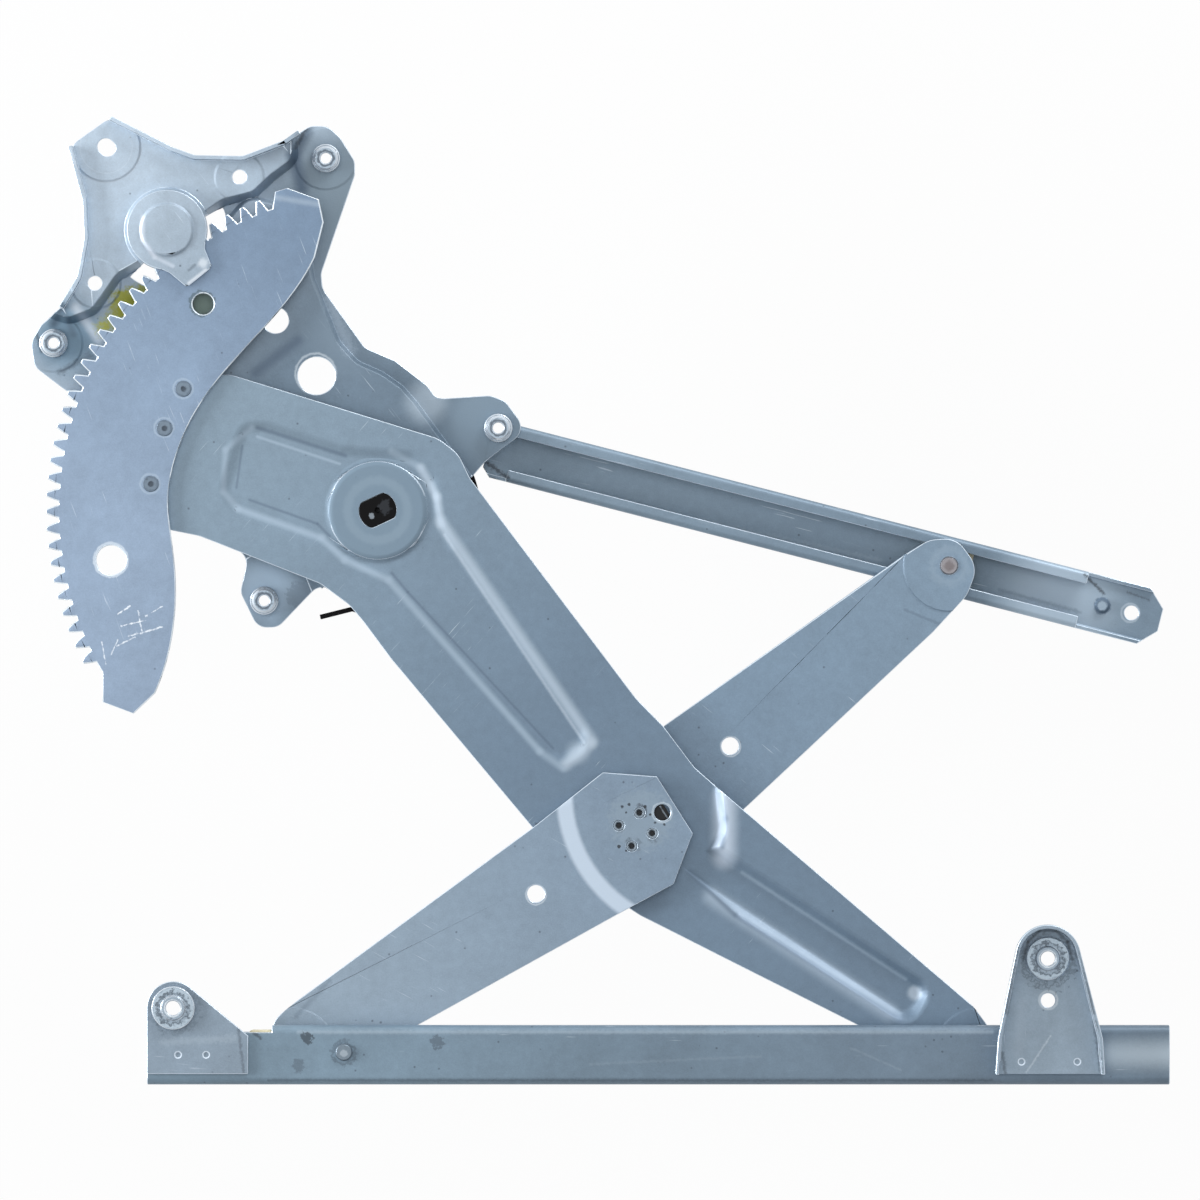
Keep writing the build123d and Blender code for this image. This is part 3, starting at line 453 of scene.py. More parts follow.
def clear_selection():
    """Leaves edit mode and selects nothing."""
    if bpy.context.mode != "OBJECT":
        bpy.ops.object.mode_set(mode="OBJECT")
    bpy.ops.object.select_all(action="DESELECT")


def take(piece):
    """Selects one piece and makes it the active one."""
    clear_selection()
    piece.select_set(True)
    bpy.context.view_layer.objects.active = piece


def apply_modifier(piece, kind, **settings):
    """Adds a modifier with its settings and applies it."""
    take(piece)
    modifier = piece.modifiers.new(kind.title(), kind)
    for key, value in settings.items():
        setattr(modifier, key, value)
    bpy.ops.object.modifier_apply(modifier=modifier.name)


def mark_edges(piece, low, high, rings=(), inside=False, kept=()):
    """Weighs for a bevel the edges whose faces meet between two angles.

    A ring is a place and its radius in millimetres. Its edges are weighed alone with inside, and left out
    without it; those within a kept circle aren't weighed.
    """
    mesh = bmesh.new()
    mesh.from_mesh(piece.data)
    layers = mesh.edges.layers.float
    weights = layers.get("bevel_weight_edge") or layers.new("bevel_weight_edge")
    for edge in mesh.edges:
        angle = edge.calc_face_angle(0.0) if len(edge.link_faces) == 2 else 0.0
        middle = (edge.verts[0].co + edge.verts[1].co) / 2
        ring = any(abs((middle.xy - Vector(place)).length * 1000 - radius) < RING_REACH
                   for place, radius in rings)
        sharp = any((middle.xy - Vector(place)).length * 1000 < radius + KEPT_REACH
                    for place, radius in kept)
        chosen = radians(low) <= angle < radians(high) and ring == inside and not sharp
        edge[weights] = 1.0 if chosen else 0.0
    mesh.to_mesh(piece.data)
    mesh.free()


def pressed_copy(node, name, body, finish, edge_finish, bend, cut, rings=(),
                 joined=True, shape=None, kept=()):
    """A copy of a piece with its bends rounded and its cut edges broken, which stands for the node.

    The widths bend and cut are in millimetres, and 0 leaves their edges as they are.
    """
    source = frame["nodes"][node]
    clear_selection()
    piece = source.copy()
    piece.data = source.data.copy()
    piece.name = name
    piece.parent = None
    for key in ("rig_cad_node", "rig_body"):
        if key in piece:
            del piece[key]
    bpy.context.scene.collection.objects.link(piece)
    take(piece)
    bpy.ops.object.mode_set(mode="EDIT")
    bpy.ops.mesh.select_all(action="SELECT")
    bpy.ops.mesh.remove_doubles(threshold=WELD_REACH)
    if joined:
        bpy.ops.mesh.dissolve_limited(angle_limit=radians(FACET_ANGLE), delimit={"NORMAL"})
    if shape:
        shape(piece)
    bpy.ops.object.mode_set(mode="OBJECT")
    piece.data.materials.clear()
    piece.data.materials.append(finish)
    piece.data.materials.append(edge_finish)
    for face in piece.data.polygons:
        face.material_index = 0
    if bend:
        mark_edges(piece, BEND_ANGLE, CUT_ANGLE)
        apply_modifier(piece, "BEVEL", width=bend / 1000, segments=3, limit_method="WEIGHT",
                       use_clamp_overlap=False, miter_outer="MITER_SHARP", material=0)
    if rings:
        mark_edges(piece, CUT_ANGLE, FLAT_ANGLE, rings, inside=True)
        apply_modifier(piece, "BEVEL", width=RING_ROUNDING, segments=2, limit_method="WEIGHT",
                       use_clamp_overlap=False, material=0)
    if cut:
        mark_edges(piece, CUT_ANGLE, FLAT_ANGLE, rings, kept=kept)
        apply_modifier(piece, "BEVEL", width=cut / 1000, segments=1, limit_method="WEIGHT",
                       use_clamp_overlap=False, material=1)
    take(piece)
    bpy.ops.object.shade_smooth_by_angle(angle=radians(SMOOTH_ANGLE))
    apply_modifier(piece, "WEIGHTED_NORMAL", mode="FACE_AREA", weight=80, keep_sharp=True)
    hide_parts(node)
    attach(piece, body)


# The lift arm's step: its foot's levels and its bounds from the crossing, in metres

CROSSING = Vector((0.17099, -0.10515))
RIB_ALONG = Vector((0.8368, -0.5476))
RIB_ACROSS = Vector((0.5476, 0.8368))
ARM_EDGE_ALONG = Vector((0.8933, -0.4493))
STEP_LEVELS = (0.0154, 0.0129)
LEVEL_REACH = 0.00005
STEP_START = 0.02
STEP_END = 0.052
RIB_CORNER = -0.0155
RIB_FOOT = -0.0068
ARM_SIDE = -0.06
RAMP_LENGTH = 0.026


def pick(piece, chosen):
    """Selects the vertices that a test of their place chooses, in edit mode."""
    bpy.ops.mesh.select_all(action="DESELECT")
    mesh = bmesh.from_edit_mesh(piece.data)
    for vertex in mesh.verts:
        vertex.select_set(chosen(vertex.co))
    mesh.select_flush_mode()
    bmesh.update_edit_mesh(piece.data)


def ease_step(piece):
    """Draws the arm's step out into a long ramp on the lower side of its rib."""

    def in_step(place, low, high):
        reach = place.xy - CROSSING
        level = min(abs(place.z - height) for height in STEP_LEVELS)
        along = STEP_START < reach.dot(RIB_ALONG) < STEP_END
        return level < LEVEL_REACH and along and low < reach.dot(RIB_ACROSS) < high

    pick(piece, lambda place: in_step(place, RIB_CORNER, RIB_FOOT))
    bpy.ops.transform.translate(value=(*(RIB_ALONG * RAMP_LENGTH), 0.0))
    pick(piece, lambda place: in_step(place, ARM_SIDE, RIB_CORNER))
    bpy.ops.transform.translate(value=(*(ARM_EDGE_ALONG * RAMP_LENGTH), 0.0))


def dress(node, material):
    """Gives a node its own finish."""
    piece = frame["nodes"][node]
    piece.data.materials.clear()
    piece.data.materials.append(material)


# Sizes and colours that a user may change

def colour_field(name, description, value):
    """A colour that the panel shows."""
    return bpy.props.FloatVectorProperty(name=name, description=description, default=value[:3], size=3,
                                         min=0, max=1, subtype="COLOR")


def full(colour):
    """A panel's colour with its fourth value."""
    return (*colour, 1.0)


def number_field(name, description, value, **settings):
    """A number that the panel shows."""
    return bpy.props.FloatProperty(name=name, description=description, default=value, **settings)


class RegulatorFinish(bpy.types.PropertyGroup):
    plate: colour_field("Plate", "Base plate's zinc", tone(184, 201, 217))
    # The colour that the lift arm's painted shade fades to, towards the crossing
    arm: colour_field("Lift arm", "Lift arm's zinc", tone(109, 130, 150))
    sector: colour_field("Sector", "Sector's bright zinc", tone(118, 139, 163))
    rail: colour_field("Rail", "Upper rail's zinc", tone(128, 148, 165))
    channel: colour_field("Channel", "Glass channel's zinc", tone(124, 147, 164))
    bracket: colour_field("Bracket", "Left bracket's zinc", tone(138, 155, 171))
    edge: colour_field("Bare edge", "Bright metal of sheared edges", BARE_METAL)
    dirt: colour_field("Dirt", "Dark smudges", tone(38, 44, 52))
    grease: colour_field("Grease", "Old gear grease", tone(172, 173, 62))
    bend: number_field("Bend", "Rounding of pressed bends, mm", 1.3, min=0.2, max=3)
    cut: number_field("Cut edge", "Broken width of cut edges, mm", 0.3, min=0.1, max=1)


class RegulatorStage(bpy.types.PropertyGroup):
    floor_level: number_field("Floor", "Height of the floor", -0.12, unit="LENGTH")
    key_power: number_field("Key light", "Power of the low light on the left", 76.0, unit="POWER")
    far_power: number_field("Far light", "Power of the low light at the far right", 40.0, unit="POWER")
    top_power: number_field("Top light", "Power of the light overhead", 6.0, unit="POWER")
    fill: number_field("Fill", "Strength of the light from all round", 0.27)
    view_width: number_field("View width", "Width that the camera takes in",
                             PICTURE_WIDTH / PIXELS_PER_METRE, unit="LENGTH")


# The pieces

PLATE_SHADE = ((150, 170), (320, 330))
TOP_TAB_SHADE = (338, 190)
PLATE_SIDE_SHADE = (350, 325)
NECK_LIGHT = (427, 402)
RIGHT_TAB_SHADE = (486, 425)
LEFT_TAB_SHADE = (66, 336)
LOWER_TAB_LIGHT = (264, 590)
LOWER_TAB_DIRT = (300, 596)
TOP_SLOPE_SHADE_START = ((307, 132), (294, 156))
TOP_SLOPE_SHADE_END = ((294, 156), (302, 188))
LEFT_STEP_LIGHT = ((77, 308), (99, 340))
LEFT_SLOPE_SHADE_START = ((54, 324), (63, 307))
LEFT_SLOPE_SHADE_END = ((63, 307), (74, 334))
GREASE_SPOT = (126, 303)
GREASE_RUN = ((104, 328), (150, 283))
DOME_RIM_HIGHLIGHT = ((144, 218), (144, 241), (156, 258))
DOME_RIM_HIGHLIGHT_END = ((156, 258), (174, 267))
TONGUE_SLOT = ((190, 271), (196, 266))
TONGUE_GLINT = (204, 264)
TONGUE_EDGE_HIGHLIGHT = ((190, 284), (207, 271))
PLATE_RUB = ((330, 300), (350, 350))
PLATE_FOLD = ((256, 373), (298, 341))
PLATE_DIRT = (((60, 372), (90, 356), 2.4, 0.35, 0.7), ((296, 148), (306, 128), 1.6, 0.6, 0.6),
              ((36, 330), (42, 352), 1.4, 0.6, 0.6))


class REGULATOR_OT_base_plate(bpy.types.Operator):
    """Finish the stamped base plate with its pads and weld nuts"""

    bl_idname = "regulator.base_plate"
    bl_label = "Base Plate"

    def execute(self, context):
        look = context.scene.regulator_finish
        grease = full(look.grease)
        marks = [
            fade(*PLATE_SHADE, tone(106, 125, 142)),
            spot(TOP_TAB_SHADE, 36.0, tone(126, 144, 158), 0.9, softness=26.0, breakup=0.03),
            spot(PLATE_SIDE_SHADE, 30.0, tone(122, 141, 158), 0.8, softness=22.0, breakup=0.03),
            spot(NECK_LIGHT, 14.0, tone(176, 193, 208), 0.7, softness=11.0, breakup=0.05),
            spot(RIGHT_TAB_SHADE, 24.0, tone(124, 144, 161), 0.9, softness=12.0, breakup=0.02),
            spot(LEFT_TAB_SHADE, 26.0, tone(99, 130, 152), 0.85, softness=20.0, breakup=0.03),
            spot(LOWER_TAB_LIGHT, 24.0, tone(166, 189, 210), 0.9, softness=18.0, breakup=0.03),
            # Painted shade on the slope down to the top nut's tab
            *streak(TOP_SLOPE_SHADE_START, 5.0, tone(82, 100, 118), 0.85, 0.06),
            *streak(TOP_SLOPE_SHADE_END, 5.5, tone(78, 98, 120), 0.85, 0.06),
            # Painted highlight on the left flange's bend, then painted shade on the slope above the left nut
            *streak(LEFT_STEP_LIGHT, 3.8, tone(202, 214, 227), 0.75, 0.06),
            *streak(LEFT_SLOPE_SHADE_START, 3.6, tone(66, 86, 104), 0.8, 0.1),
            *streak(LEFT_SLOPE_SHADE_END, 2.8, tone(82, 102, 120), 0.5, 0.1),
            spot(GREASE_SPOT, 9.0, grease, 0.95, softness=5.0, breakup=0.5),
            spot(GEAR_HOLE, 7.0, tone(118, 138, 122), 0.8, softness=3.0),
            # Painted highlights on rings round the top hole's pressed pad
            rim(TOP_HOLE, 16.6, 15.6, PAD_EDGE_HIGHLIGHT, 0.5, 0.5, 0.01),
            rim(TOP_HOLE, 12.4, 11.6, PAD_EDGE_HIGHLIGHT, 0.35, 0.4, 0.01),
            *streak(GREASE_RUN, 6.0, grease, 0.9, 0.5),
            *streak(TONGUE_SLOT, 1.2, tone(84, 96, 106), 0.5),
            rim(ROUND_HOLE, 10.2, 8.4, HOLE_RIM, 0.5, 0.8, 0.05),
            *streak(PLATE_RUB, 5.0, tone(168, 186, 203), 0.5),
            *streak(PLATE_FOLD, 4.6, tone(84, 102, 122), 0.75, 0.08),
            # Painted highlights on the dome's rim and on the tongue's bent corner and edge
            *streak(DOME_RIM_HIGHLIGHT, 1.9, tone(212, 222, 235), 0.7, 0.05),
            *streak(DOME_RIM_HIGHLIGHT_END, 1.6, tone(206, 217, 231), 0.6, 0.05),
            spot(TONGUE_GLINT, 3.4, tone(222, 231, 240), 0.7, softness=2.6, breakup=0.3),
            *streak(TONGUE_EDGE_HIGHLIGHT, 1.4, tone(226, 234, 242), 0.7, 0.1),
            *streaks(PLATE_DIRT, full(look.dirt)),
            spot(LOWER_TAB_DIRT, 7.0, tone(96, 112, 128), 0.4, breakup=0.6),
        ]
        pads = [pressed(TOP_HOLE, 16.5, 0.45), *[pressed(place, 12.0, 0.4) for place in MOTOR_HOLES],
                pressed(TOP_NUT, 15.0, 0.3), pressed(LEFT_NUT, 14.0, 0.3)]
        sheet = plated("plate_zinc", full(look.plate), marks, turn=0.9, dirt=0.35, cloud=0.8, reliefs=pads)
        pressed_copy("base_plate", "plate_sheet", "base", sheet, bare_edge("plate_edge", look),
                     look.bend * 0.4, look.cut, joined=False)
        nut_marks = []
        for place in (LOWER_NUT, RIGHT_NUT, TOP_NUT, LEFT_NUT):
            nut_marks.append(rim(place, 6.8, 5.0, tone(98, 112, 126), 0.7, 0.6, 0.25))
            nut_marks.append(rim(place, 4.4, 2.4, tone(66, 76, 88), 0.8, 0.8, 0.25))
        nuts = plated("nut_zinc", tone(160, 176, 190), nut_marks, roughness=0.32, metal=0.6, scuffs=0.7,
                      dirt=0.8)
        nut_edge = plain("nut_edge", NUT_EDGE, 0.3, metal=0.6)
        pressed_copy("panel_nuts", "weld_nuts", "base", nuts, nut_edge, 0, 0.5)
        return {"FINISHED"}


SHAFT_RUB = (372, 516)
SHAFT_DUST = (385, 507)


class REGULATOR_OT_pivot(bpy.types.Operator):
    """Finish the bush, shaft, clip and spring of the main pivot"""

    bl_idname = "regulator.pivot"
    bl_label = "Main Pivot"

    def execute(self, context):
        dress("pivot_bush", plain("bush_steel", tone(150, 160, 168), 0.4, metal=0.6))
        dress("shaft_clip", plain("clip_steel", tone(90, 94, 98), 0.4, metal=0.5))
        shaft_marks = [spot(SHAFT_RUB, 1.6, tone(150, 160, 170), 0.8, breakup=0.6),
                       spot(SHAFT_DUST, 3.5, tone(70, 74, 80), 0.5, breakup=0.7)]
        shaft = plated("shaft_black", tone(9, 9, 11), shaft_marks, roughness=0.6, metal=0.2, shine=0.12,
                       scuffs=0.2, dirt=0.1)
        pressed_copy("pivot_shaft", "shaft_body", "lift", shaft, shaft, 0, 0.35)
        dress("counterbalance_spring", plain("spring_black", tone(10, 10, 12), 0.6, shine=0.1))
        return {"FINISHED"}


# The lift arm's marks: ARM_SHADE is a painted shade across it and ARM_SMUDGE is dirt; the other places carry
# painted highlights on its pressed walls, step and rib, and painted shade in its bends.
ARM_SHADE = ((180, 380), (560, 720))
POCKET_SIDE_WALL = ((441, 522), (592, 741))
POCKET_SIDE_RIDGE = ((445, 535), (584, 742))
DISC_WALL_TOP = ((392, 452), (421, 468))
DISC_WALL_SIDE = ((421, 468), (437, 497), (441, 524))
POCKET_FOOT = ((590, 744), (566, 764))
POCKET_CORNER = (578, 752)
POCKET_LOWER_WALL = ((239, 509), (322, 538), (345, 560), (389, 580), (540, 751))
POCKET_LOWER_END = ((540, 751), (563, 768))
POCKET_FLOOR_EDGE = ((250, 500), (318, 524), (330, 536))
POCKET_FLOOR_TURN = ((392, 573), (408, 592))
POCKET_FLOOR_SIDE = ((408, 592), (553, 748))
POCKET_TOP_SHADE = ((258, 428), (346, 456))
POCKET_TOP_LIGHT = ((258, 437), (340, 464))
POCKET_HEAD = ((252, 428), (226, 450))
POCKET_HEAD_WALL = ((226, 450), (224, 492))
POCKET_HEAD_END = ((224, 492), (239, 509))
POCKET_HEAD_SHADE = ((243, 446), (237, 488))
STEP_LIGHT = ((725, 798), (724, 856))
STEP_SHADE = ((718, 791), (725, 818), (722, 846))
RIB_BAND = ((712, 896), (888, 1011))
RIB_BAND_SHADE = ((736, 915), (900, 1019))
RIB_START_SHADE = ((690, 871), (734, 913))
RIB_FAR_EDGE = ((742, 872), (905, 978))
RIB_END = (914, 992)
ARM_SMUDGE = (540, 826)


class REGULATOR_OT_lift_arm(bpy.types.Operator):
    """Finish the pressed lift arm"""

    bl_idname = "regulator.lift_arm"
    bl_label = "Lift Arm"

    def execute(self, context):
        look = context.scene.regulator_finish
        # Colours of the painted highlights on the pressed walls and of the painted shade in the bends
        slope_highlight = tone(160, 180, 198)
        bright = tone(184, 201, 217)
        painted_sheen = tone(200, 215, 230)
        dark = tone(92, 111, 131)
        marks = [
            fade(*ARM_SHADE, full(look.arm)),
            spot(SHAFT, 23.5, tone(119, 141, 159), 0.8, softness=1.4, breakup=0.02),
            rim(SHAFT, 17.0, 10.5, tone(133, 154, 171), 0.7, 2.5, 0.05),
            # From here to the dirt smudge: painted highlights on the pressed walls, step and rib, and
            # painted shade in the bends and over the step
            *streak(POCKET_SIDE_WALL, 4.6, bright, 0.7, 0.01),
            *streak(POCKET_SIDE_RIDGE, 1.3, painted_sheen, 0.35, 0.2),
            *streak(DISC_WALL_TOP, 2.8, slope_highlight, 0.6, 0.01),
            *streak(DISC_WALL_SIDE, 3.4, bright, 0.7, 0.01),
            *streak(POCKET_FOOT, 4.6, tone(186, 202, 217), 0.7, 0.01),
            spot(POCKET_CORNER, 7.6, tone(176, 193, 209), 0.5, softness=6.0, breakup=0.01),
            *streak(POCKET_LOWER_WALL, 2.8, slope_highlight, 0.75, 0.01),
            *streak(POCKET_LOWER_END, 3.0, slope_highlight, 0.6, 0.01),
            *streak(POCKET_FLOOR_EDGE, 1.1, dark, 0.6, 0.1),
            *streak(POCKET_FLOOR_TURN, 1.1, dark, 0.6, 0.1),
            *streak(POCKET_FLOOR_SIDE, 1.1, dark, 0.65, 0.1),
            *streak(POCKET_TOP_SHADE, 1.6, dark, 0.6, 0.05),
            *streak(POCKET_TOP_LIGHT, 1.2, slope_highlight, 0.7, 0.1),
            *streak(POCKET_HEAD, 2.4, slope_highlight, 0.6, 0.01),
            *streak(POCKET_HEAD_WALL, 2.4, slope_highlight, 0.65, 0.01),
            *streak(POCKET_HEAD_END, 2.6, slope_highlight, 0.65, 0.01),
            *streak(POCKET_HEAD_SHADE, 1.0, dark, 0.5, 0.1),
            *streak(STEP_LIGHT, 8.5, tone(196, 211, 228), 0.9, 0.01),
            *streak(RIB_BAND, 7.0, tone(172, 190, 208), 0.65, 0.01),
            *streak(RIB_BAND_SHADE, 2.2, tone(104, 124, 146), 0.7, 0.01),
            *streak(RIB_START_SHADE, 2.6, tone(90, 110, 130), 0.7, 0.01),
            *streak(STEP_SHADE, 2.4, tone(136, 156, 178), 0.75, 0.01),
            *streak(RIB_FAR_EDGE, 1.6, slope_highlight, 0.45, 0.15),
            spot(RIB_END, 4.6, painted_sheen, 0.6, softness=3.0, breakup=0.1),
            spot(ARM_SMUDGE, 2.6, full(look.dirt), 0.6, breakup=0.8),
        ]
        sheet = plated("arm_zinc", tone(136, 157, 174), marks, turn=-0.85, cloud=0.4, dirt=0.2)
        pressed_copy("lift_arm", "arm_sheet", "lift", sheet, bare_edge("arm_edge", look),
                     look.bend, look.cut, rings=[(seen(*RIGHT_TIP), TIP_RING)], shape=ease_step)
        return {"FINISHED"}


SECTOR_SHADE = ((290, 220), (110, 500))
SECTOR_TOP_RUB = ((262, 196), (318, 205))
JOINT_PADS = ((184, 389), (165, 428), (151, 484))
SECTOR_SCRATCHES = (
    ((119, 614), (131, 606), 0.45, 0.9, 1.4), ((122, 626), (148, 620), 0.4, 0.9, 1.6),
    ((130, 636), (163, 627), 0.5, 0.85, 1.6), ((139, 611), (143, 631), 0.4, 0.8, 1.4),
    ((147, 616), (164, 606), 0.35, 0.8, 1.6), ((118, 646), (136, 637), 0.4, 0.8, 1.5),
    ((103, 642), (107, 664), 0.35, 0.8, 1.2), ((112, 655), (119, 640), 0.35, 0.7, 1.4))


class REGULATOR_OT_sector(bpy.types.Operator):
    """Finish the toothed sector and its three pressed joints"""

    bl_idname = "regulator.sector"
    bl_label = "Toothed Sector"

    def execute(self, context):
        look = context.scene.regulator_finish
        marks = [
            fade(*SECTOR_SHADE, tone(142, 161, 184)),
            *streaks(SECTOR_SCRATCHES, tone(232, 240, 247)),
            rim(SECTOR_HOLE, 8.6, 6.6, tone(214, 226, 236), 0.6, 0.7, 0.06),
            rim(GEAR_HOLE, 6.4, 4.7, tone(86, 104, 112), 0.75, 0.6, 0.25),
            *[rim(place, 5.2, 3.7, tone(178, 196, 212), 0.4, 0.6, 0.1) for place in JOINT_PADS],
            *streak(SECTOR_TOP_RUB, 2.4, tone(198, 212, 224), 0.25, 0.1),
        ]
        sheet = plated("sector_zinc", full(look.sector), marks, turn=1.2, cloud=0.6, scuffs=0.6, dirt=0.15,
                       metal=0.5)
        edge = plain("sector_edge", tone(226, 236, 244), 0.3, metal=0.6)
        pressed_copy("sector_gear", "sector_sheet", "lift", sheet, edge, 0, 0.5,
                     joined=False, kept=[(seen(*place), JOINT_RADIUS) for place in SECTOR_JOINTS])
        joint_marks = []
        for place in SECTOR_JOINTS:
            # Painted shade in each joint's dimple: a dark centre and a darker ring round it
            joint_marks.append(spot(place, 1.5, tone(52, 62, 74), 0.8, softness=0.6, breakup=0.2))
            joint_marks.append(rim(place, 3.9, 2.6, tone(94, 110, 126), 0.7, 0.5, 0.25))
        joint = plated("joint_grey", tone(116, 132, 148), joint_marks, roughness=0.5, scuffs=0.5, dirt=0.9)
        pressed_copy("sector_rivets", "sector_joints", "lift", joint, joint, 0, 0.3)
        return {"FINISHED"}


CROSS_UPPER_SHADE = ((700, 780), (950, 560))
UPPER_TIP_RUB = ((905, 610), (950, 628))
CROSS_LOWER_SHADE = ((300, 1010), (620, 800))
LOWER_TIP_RUB = ((296, 1016), (330, 980))
END_PLATE_LIGHT = (640, 820)
END_PLATE_PILOT = (640.7, 810.8)
BUSH_RIM = (662, 812)
END_PLATE_SMUDGES = (((633, 845), 4.4, 0.5, 3.0), ((653, 836), 3.4, 0.45, 2.4), ((618, 826), 3.2, 0.4, 2.4))
END_PLATE_SPECKS = (
    ((622, 806), 0.9), ((629, 804), 0.8), ((645, 806), 0.9), ((650, 814), 0.7), ((626, 812), 0.6),
    ((619, 846), 0.9), ((626, 850), 0.7), ((655, 822), 0.8), ((664, 824), 0.8), ((668, 818), 0.7))


class REGULATOR_OT_cross_arm(bpy.types.Operator):
    """Finish the two halves of the cross arm"""

    bl_idname = "regulator.cross_arm"
    bl_label = "Cross Arm"

    def execute(self, context):
        look = context.scene.regulator_finish
        dirt = full(look.dirt)
        upper_marks = [
            fade(*CROSS_UPPER_SHADE, tone(128, 150, 170), 0.9),
            *streak(UPPER_TIP_RUB, 1.2, tone(96, 114, 132), 0.5, 0.4),
            rim(UPPER_TIP, 11.0, 4.5, tone(150, 170, 187), 0.5, 4.0, 0.25),
            rim(UPPER_HOLE, 5.2, 3.9),
        ]
        upper = plated("cross_upper_zinc", tone(122, 144, 165), upper_marks, turn=0.7, cloud=0.5, dirt=0.25)
        lower_marks = [
            fade(*CROSS_LOWER_SHADE, tone(128, 148, 168)),
            # Painted highlight along the curved pressed band of the lower half
            rim(PRESSED_ARC, 69.0, 59.0, tone(200, 216, 233), 0.9, 2.6, 0.002),
            spot(END_PLATE_LIGHT, 17.0, tone(146, 164, 178), 0.45, softness=6.0, breakup=0.4),
            spot(END_PLATE_PILOT, 3.4, tone(74, 84, 96), 0.75, breakup=0.8),
            *[spot(place, size, dirt, strength, softness=softness, breakup=0.9)
              for place, size, strength, softness in END_PLATE_SMUDGES],
            rim(BUSH_RIM, 5.2, 3.9, tone(198, 212, 222), 0.55, 0.6, 0.1),
            *[spot(place, size, dirt, 0.9, softness=size * 0.5, breakup=0.6)
              for place, size in END_PLATE_SPECKS],
            rim(LOWER_HOLE, 5.2, 3.9),
            *streak(LOWER_TIP_RUB, 2.0, tone(96, 112, 128), 0.35, 0.4),
        ]
        lower = plated("cross_lower_zinc", tone(150, 168, 184), lower_marks, turn=0.5, cloud=0.5, dirt=0.3)
        edge = bare_edge("cross_edge", look)
        pressed_copy("cross_arm_upper", "cross_upper_sheet", "cross", upper, edge,
                     look.bend, look.cut, rings=[(seen(*UPPER_TIP), TIP_RING)])
        pressed_copy("cross_arm_lower", "cross_lower_sheet", "cross", lower, edge,
                     look.bend, look.cut, rings=[(seen(*LEFT_TIP), TIP_RING)])
        return {"FINISHED"}


BUSH_SCRATCH = ((660, 806), (667, 817))


class REGULATOR_OT_crossing(bpy.types.Operator):
    """Finish the bush and rivets of the crossing"""

    bl_idname = "regulator.crossing"
    bl_label = "Crossing"

    def execute(self, context):
        bush_marks = [spot(CENTRE_BUSH, 4.4, tone(16, 18, 22), softness=0.6, breakup=0.02),
                      *streak(BUSH_SCRATCH, 0.5, tone(170, 182, 194), 0.8, 0.8)]
        dress("centre_bush", plated("crossing_bush_steel", tone(120, 130, 138), bush_marks, roughness=0.5))
        rivet_marks = [spot(place, 1.9, tone(22, 26, 32), 0.95, softness=0.5, breakup=0.15)
                       for place in CENTRE_RIVETS]
        rivet = plated("rivet_dark", tone(128, 142, 154), rivet_marks, roughness=0.45, scuffs=0.5, dirt=0.9)
        rivet_edge = plain("rivet_edge", tone(170, 184, 196), 0.35, metal=0.6)
        pressed_copy("centre_rivets", "crossing_rivets", "cross", rivet, rivet_edge, 0, 0.35)
        return {"FINISHED"}


RAIL_SHADE = ((520, 440), (880, 550))
RAIL_END_LIGHT = (1060, 600)
RAIL_LIP_RUB = ((700, 520), (880, 560))
RAIL_LIP_SHADOW = ((1000, 590), (1080, 612))
RAIL_DIRT = (((486, 462), (508, 478), 1.6, 0.75, 0.7), ((1085, 575), (1104, 593), 1.3, 0.7, 0.7),
             ((1128, 592), (1150, 600), 0.9, 0.4, 0.7))


class REGULATOR_OT_rail(bpy.types.Operator):
    """Finish the upper rail with its shoe and pin"""

    bl_idname = "regulator.rail"
    bl_label = "Upper Rail"

    def execute(self, context):
        look = context.scene.regulator_finish
        marks = [
            fade(*RAIL_SHADE, tone(112, 132, 150), 0.7),
            # Painted light over the rail's end, which the arm's tip shades under the low light
            spot(RAIL_END_LIGHT, 40.0, tone(168, 187, 204), 0.9, softness=30.0, breakup=0.02),
            *streaks(RAIL_DIRT, full(look.dirt)),
            rim(RAIL_DIMPLE, 4.4, 1.6, tone(78, 98, 120), 0.7, 1.0, 0.25),
            rim(RAIL_HOLE, 5.0, 3.3, tone(180, 196, 210), 0.6, 0.7, 0.06),
            *streak(RAIL_LIP_RUB, 2.0, tone(150, 168, 184), 0.35, 0.6),
            *streak(RAIL_LIP_SHADOW, 1.6, tone(82, 100, 118), 0.35, 0.5),
        ]
        rail = plated("rail_zinc", full(look.rail), marks, turn=0.25, cloud=0.5, scuffs=0.5, dirt=0.35)
        pressed_copy("upper_rail", "rail_sheet", "upper_rail", rail, bare_edge("rail_edge", look), 0,
                     look.cut)
        dress("upper_shoe", plain("shoe_cream", NYLON, 0.5, grain=0.3))
        pin_marks = [spot(UPPER_TIP, 3.0, tone(108, 100, 102), 0.7, softness=1.5, breakup=0.5)]
        pin = plated("pin_steel", tone(140, 138, 142), pin_marks, roughness=0.35, metal=0.6, scuffs=0.6,
                     dirt=0.9)
        pressed_copy("upper_pin", "upper_pin_steel", "cross", pin, pin, 0, 0.25)
        return {"FINISHED"}


CHANNEL_SHADE = ((160, 1050), (900, 1050))
CHANNEL_TOP_LIGHT = ((300, 1030), (990, 1030))
CHANNEL_FOOT_DIRT = ((270, 1078), (990, 1078))
CHANNEL_END_LIGHT = ((1112, 1052), (1166, 1052))
NOTCH_DIRT = ((250, 1026), (262, 1036))
WEB_SCRATCH = ((590, 1062), (760, 1054))
WEB_SHORT_SCRATCH = ((850, 1046), (900, 1068))
WEB_DARK_SPOT = (309, 1036)
WEB_SPOTS = (((438, 1040), 0.55), ((300, 1064), 0.45))


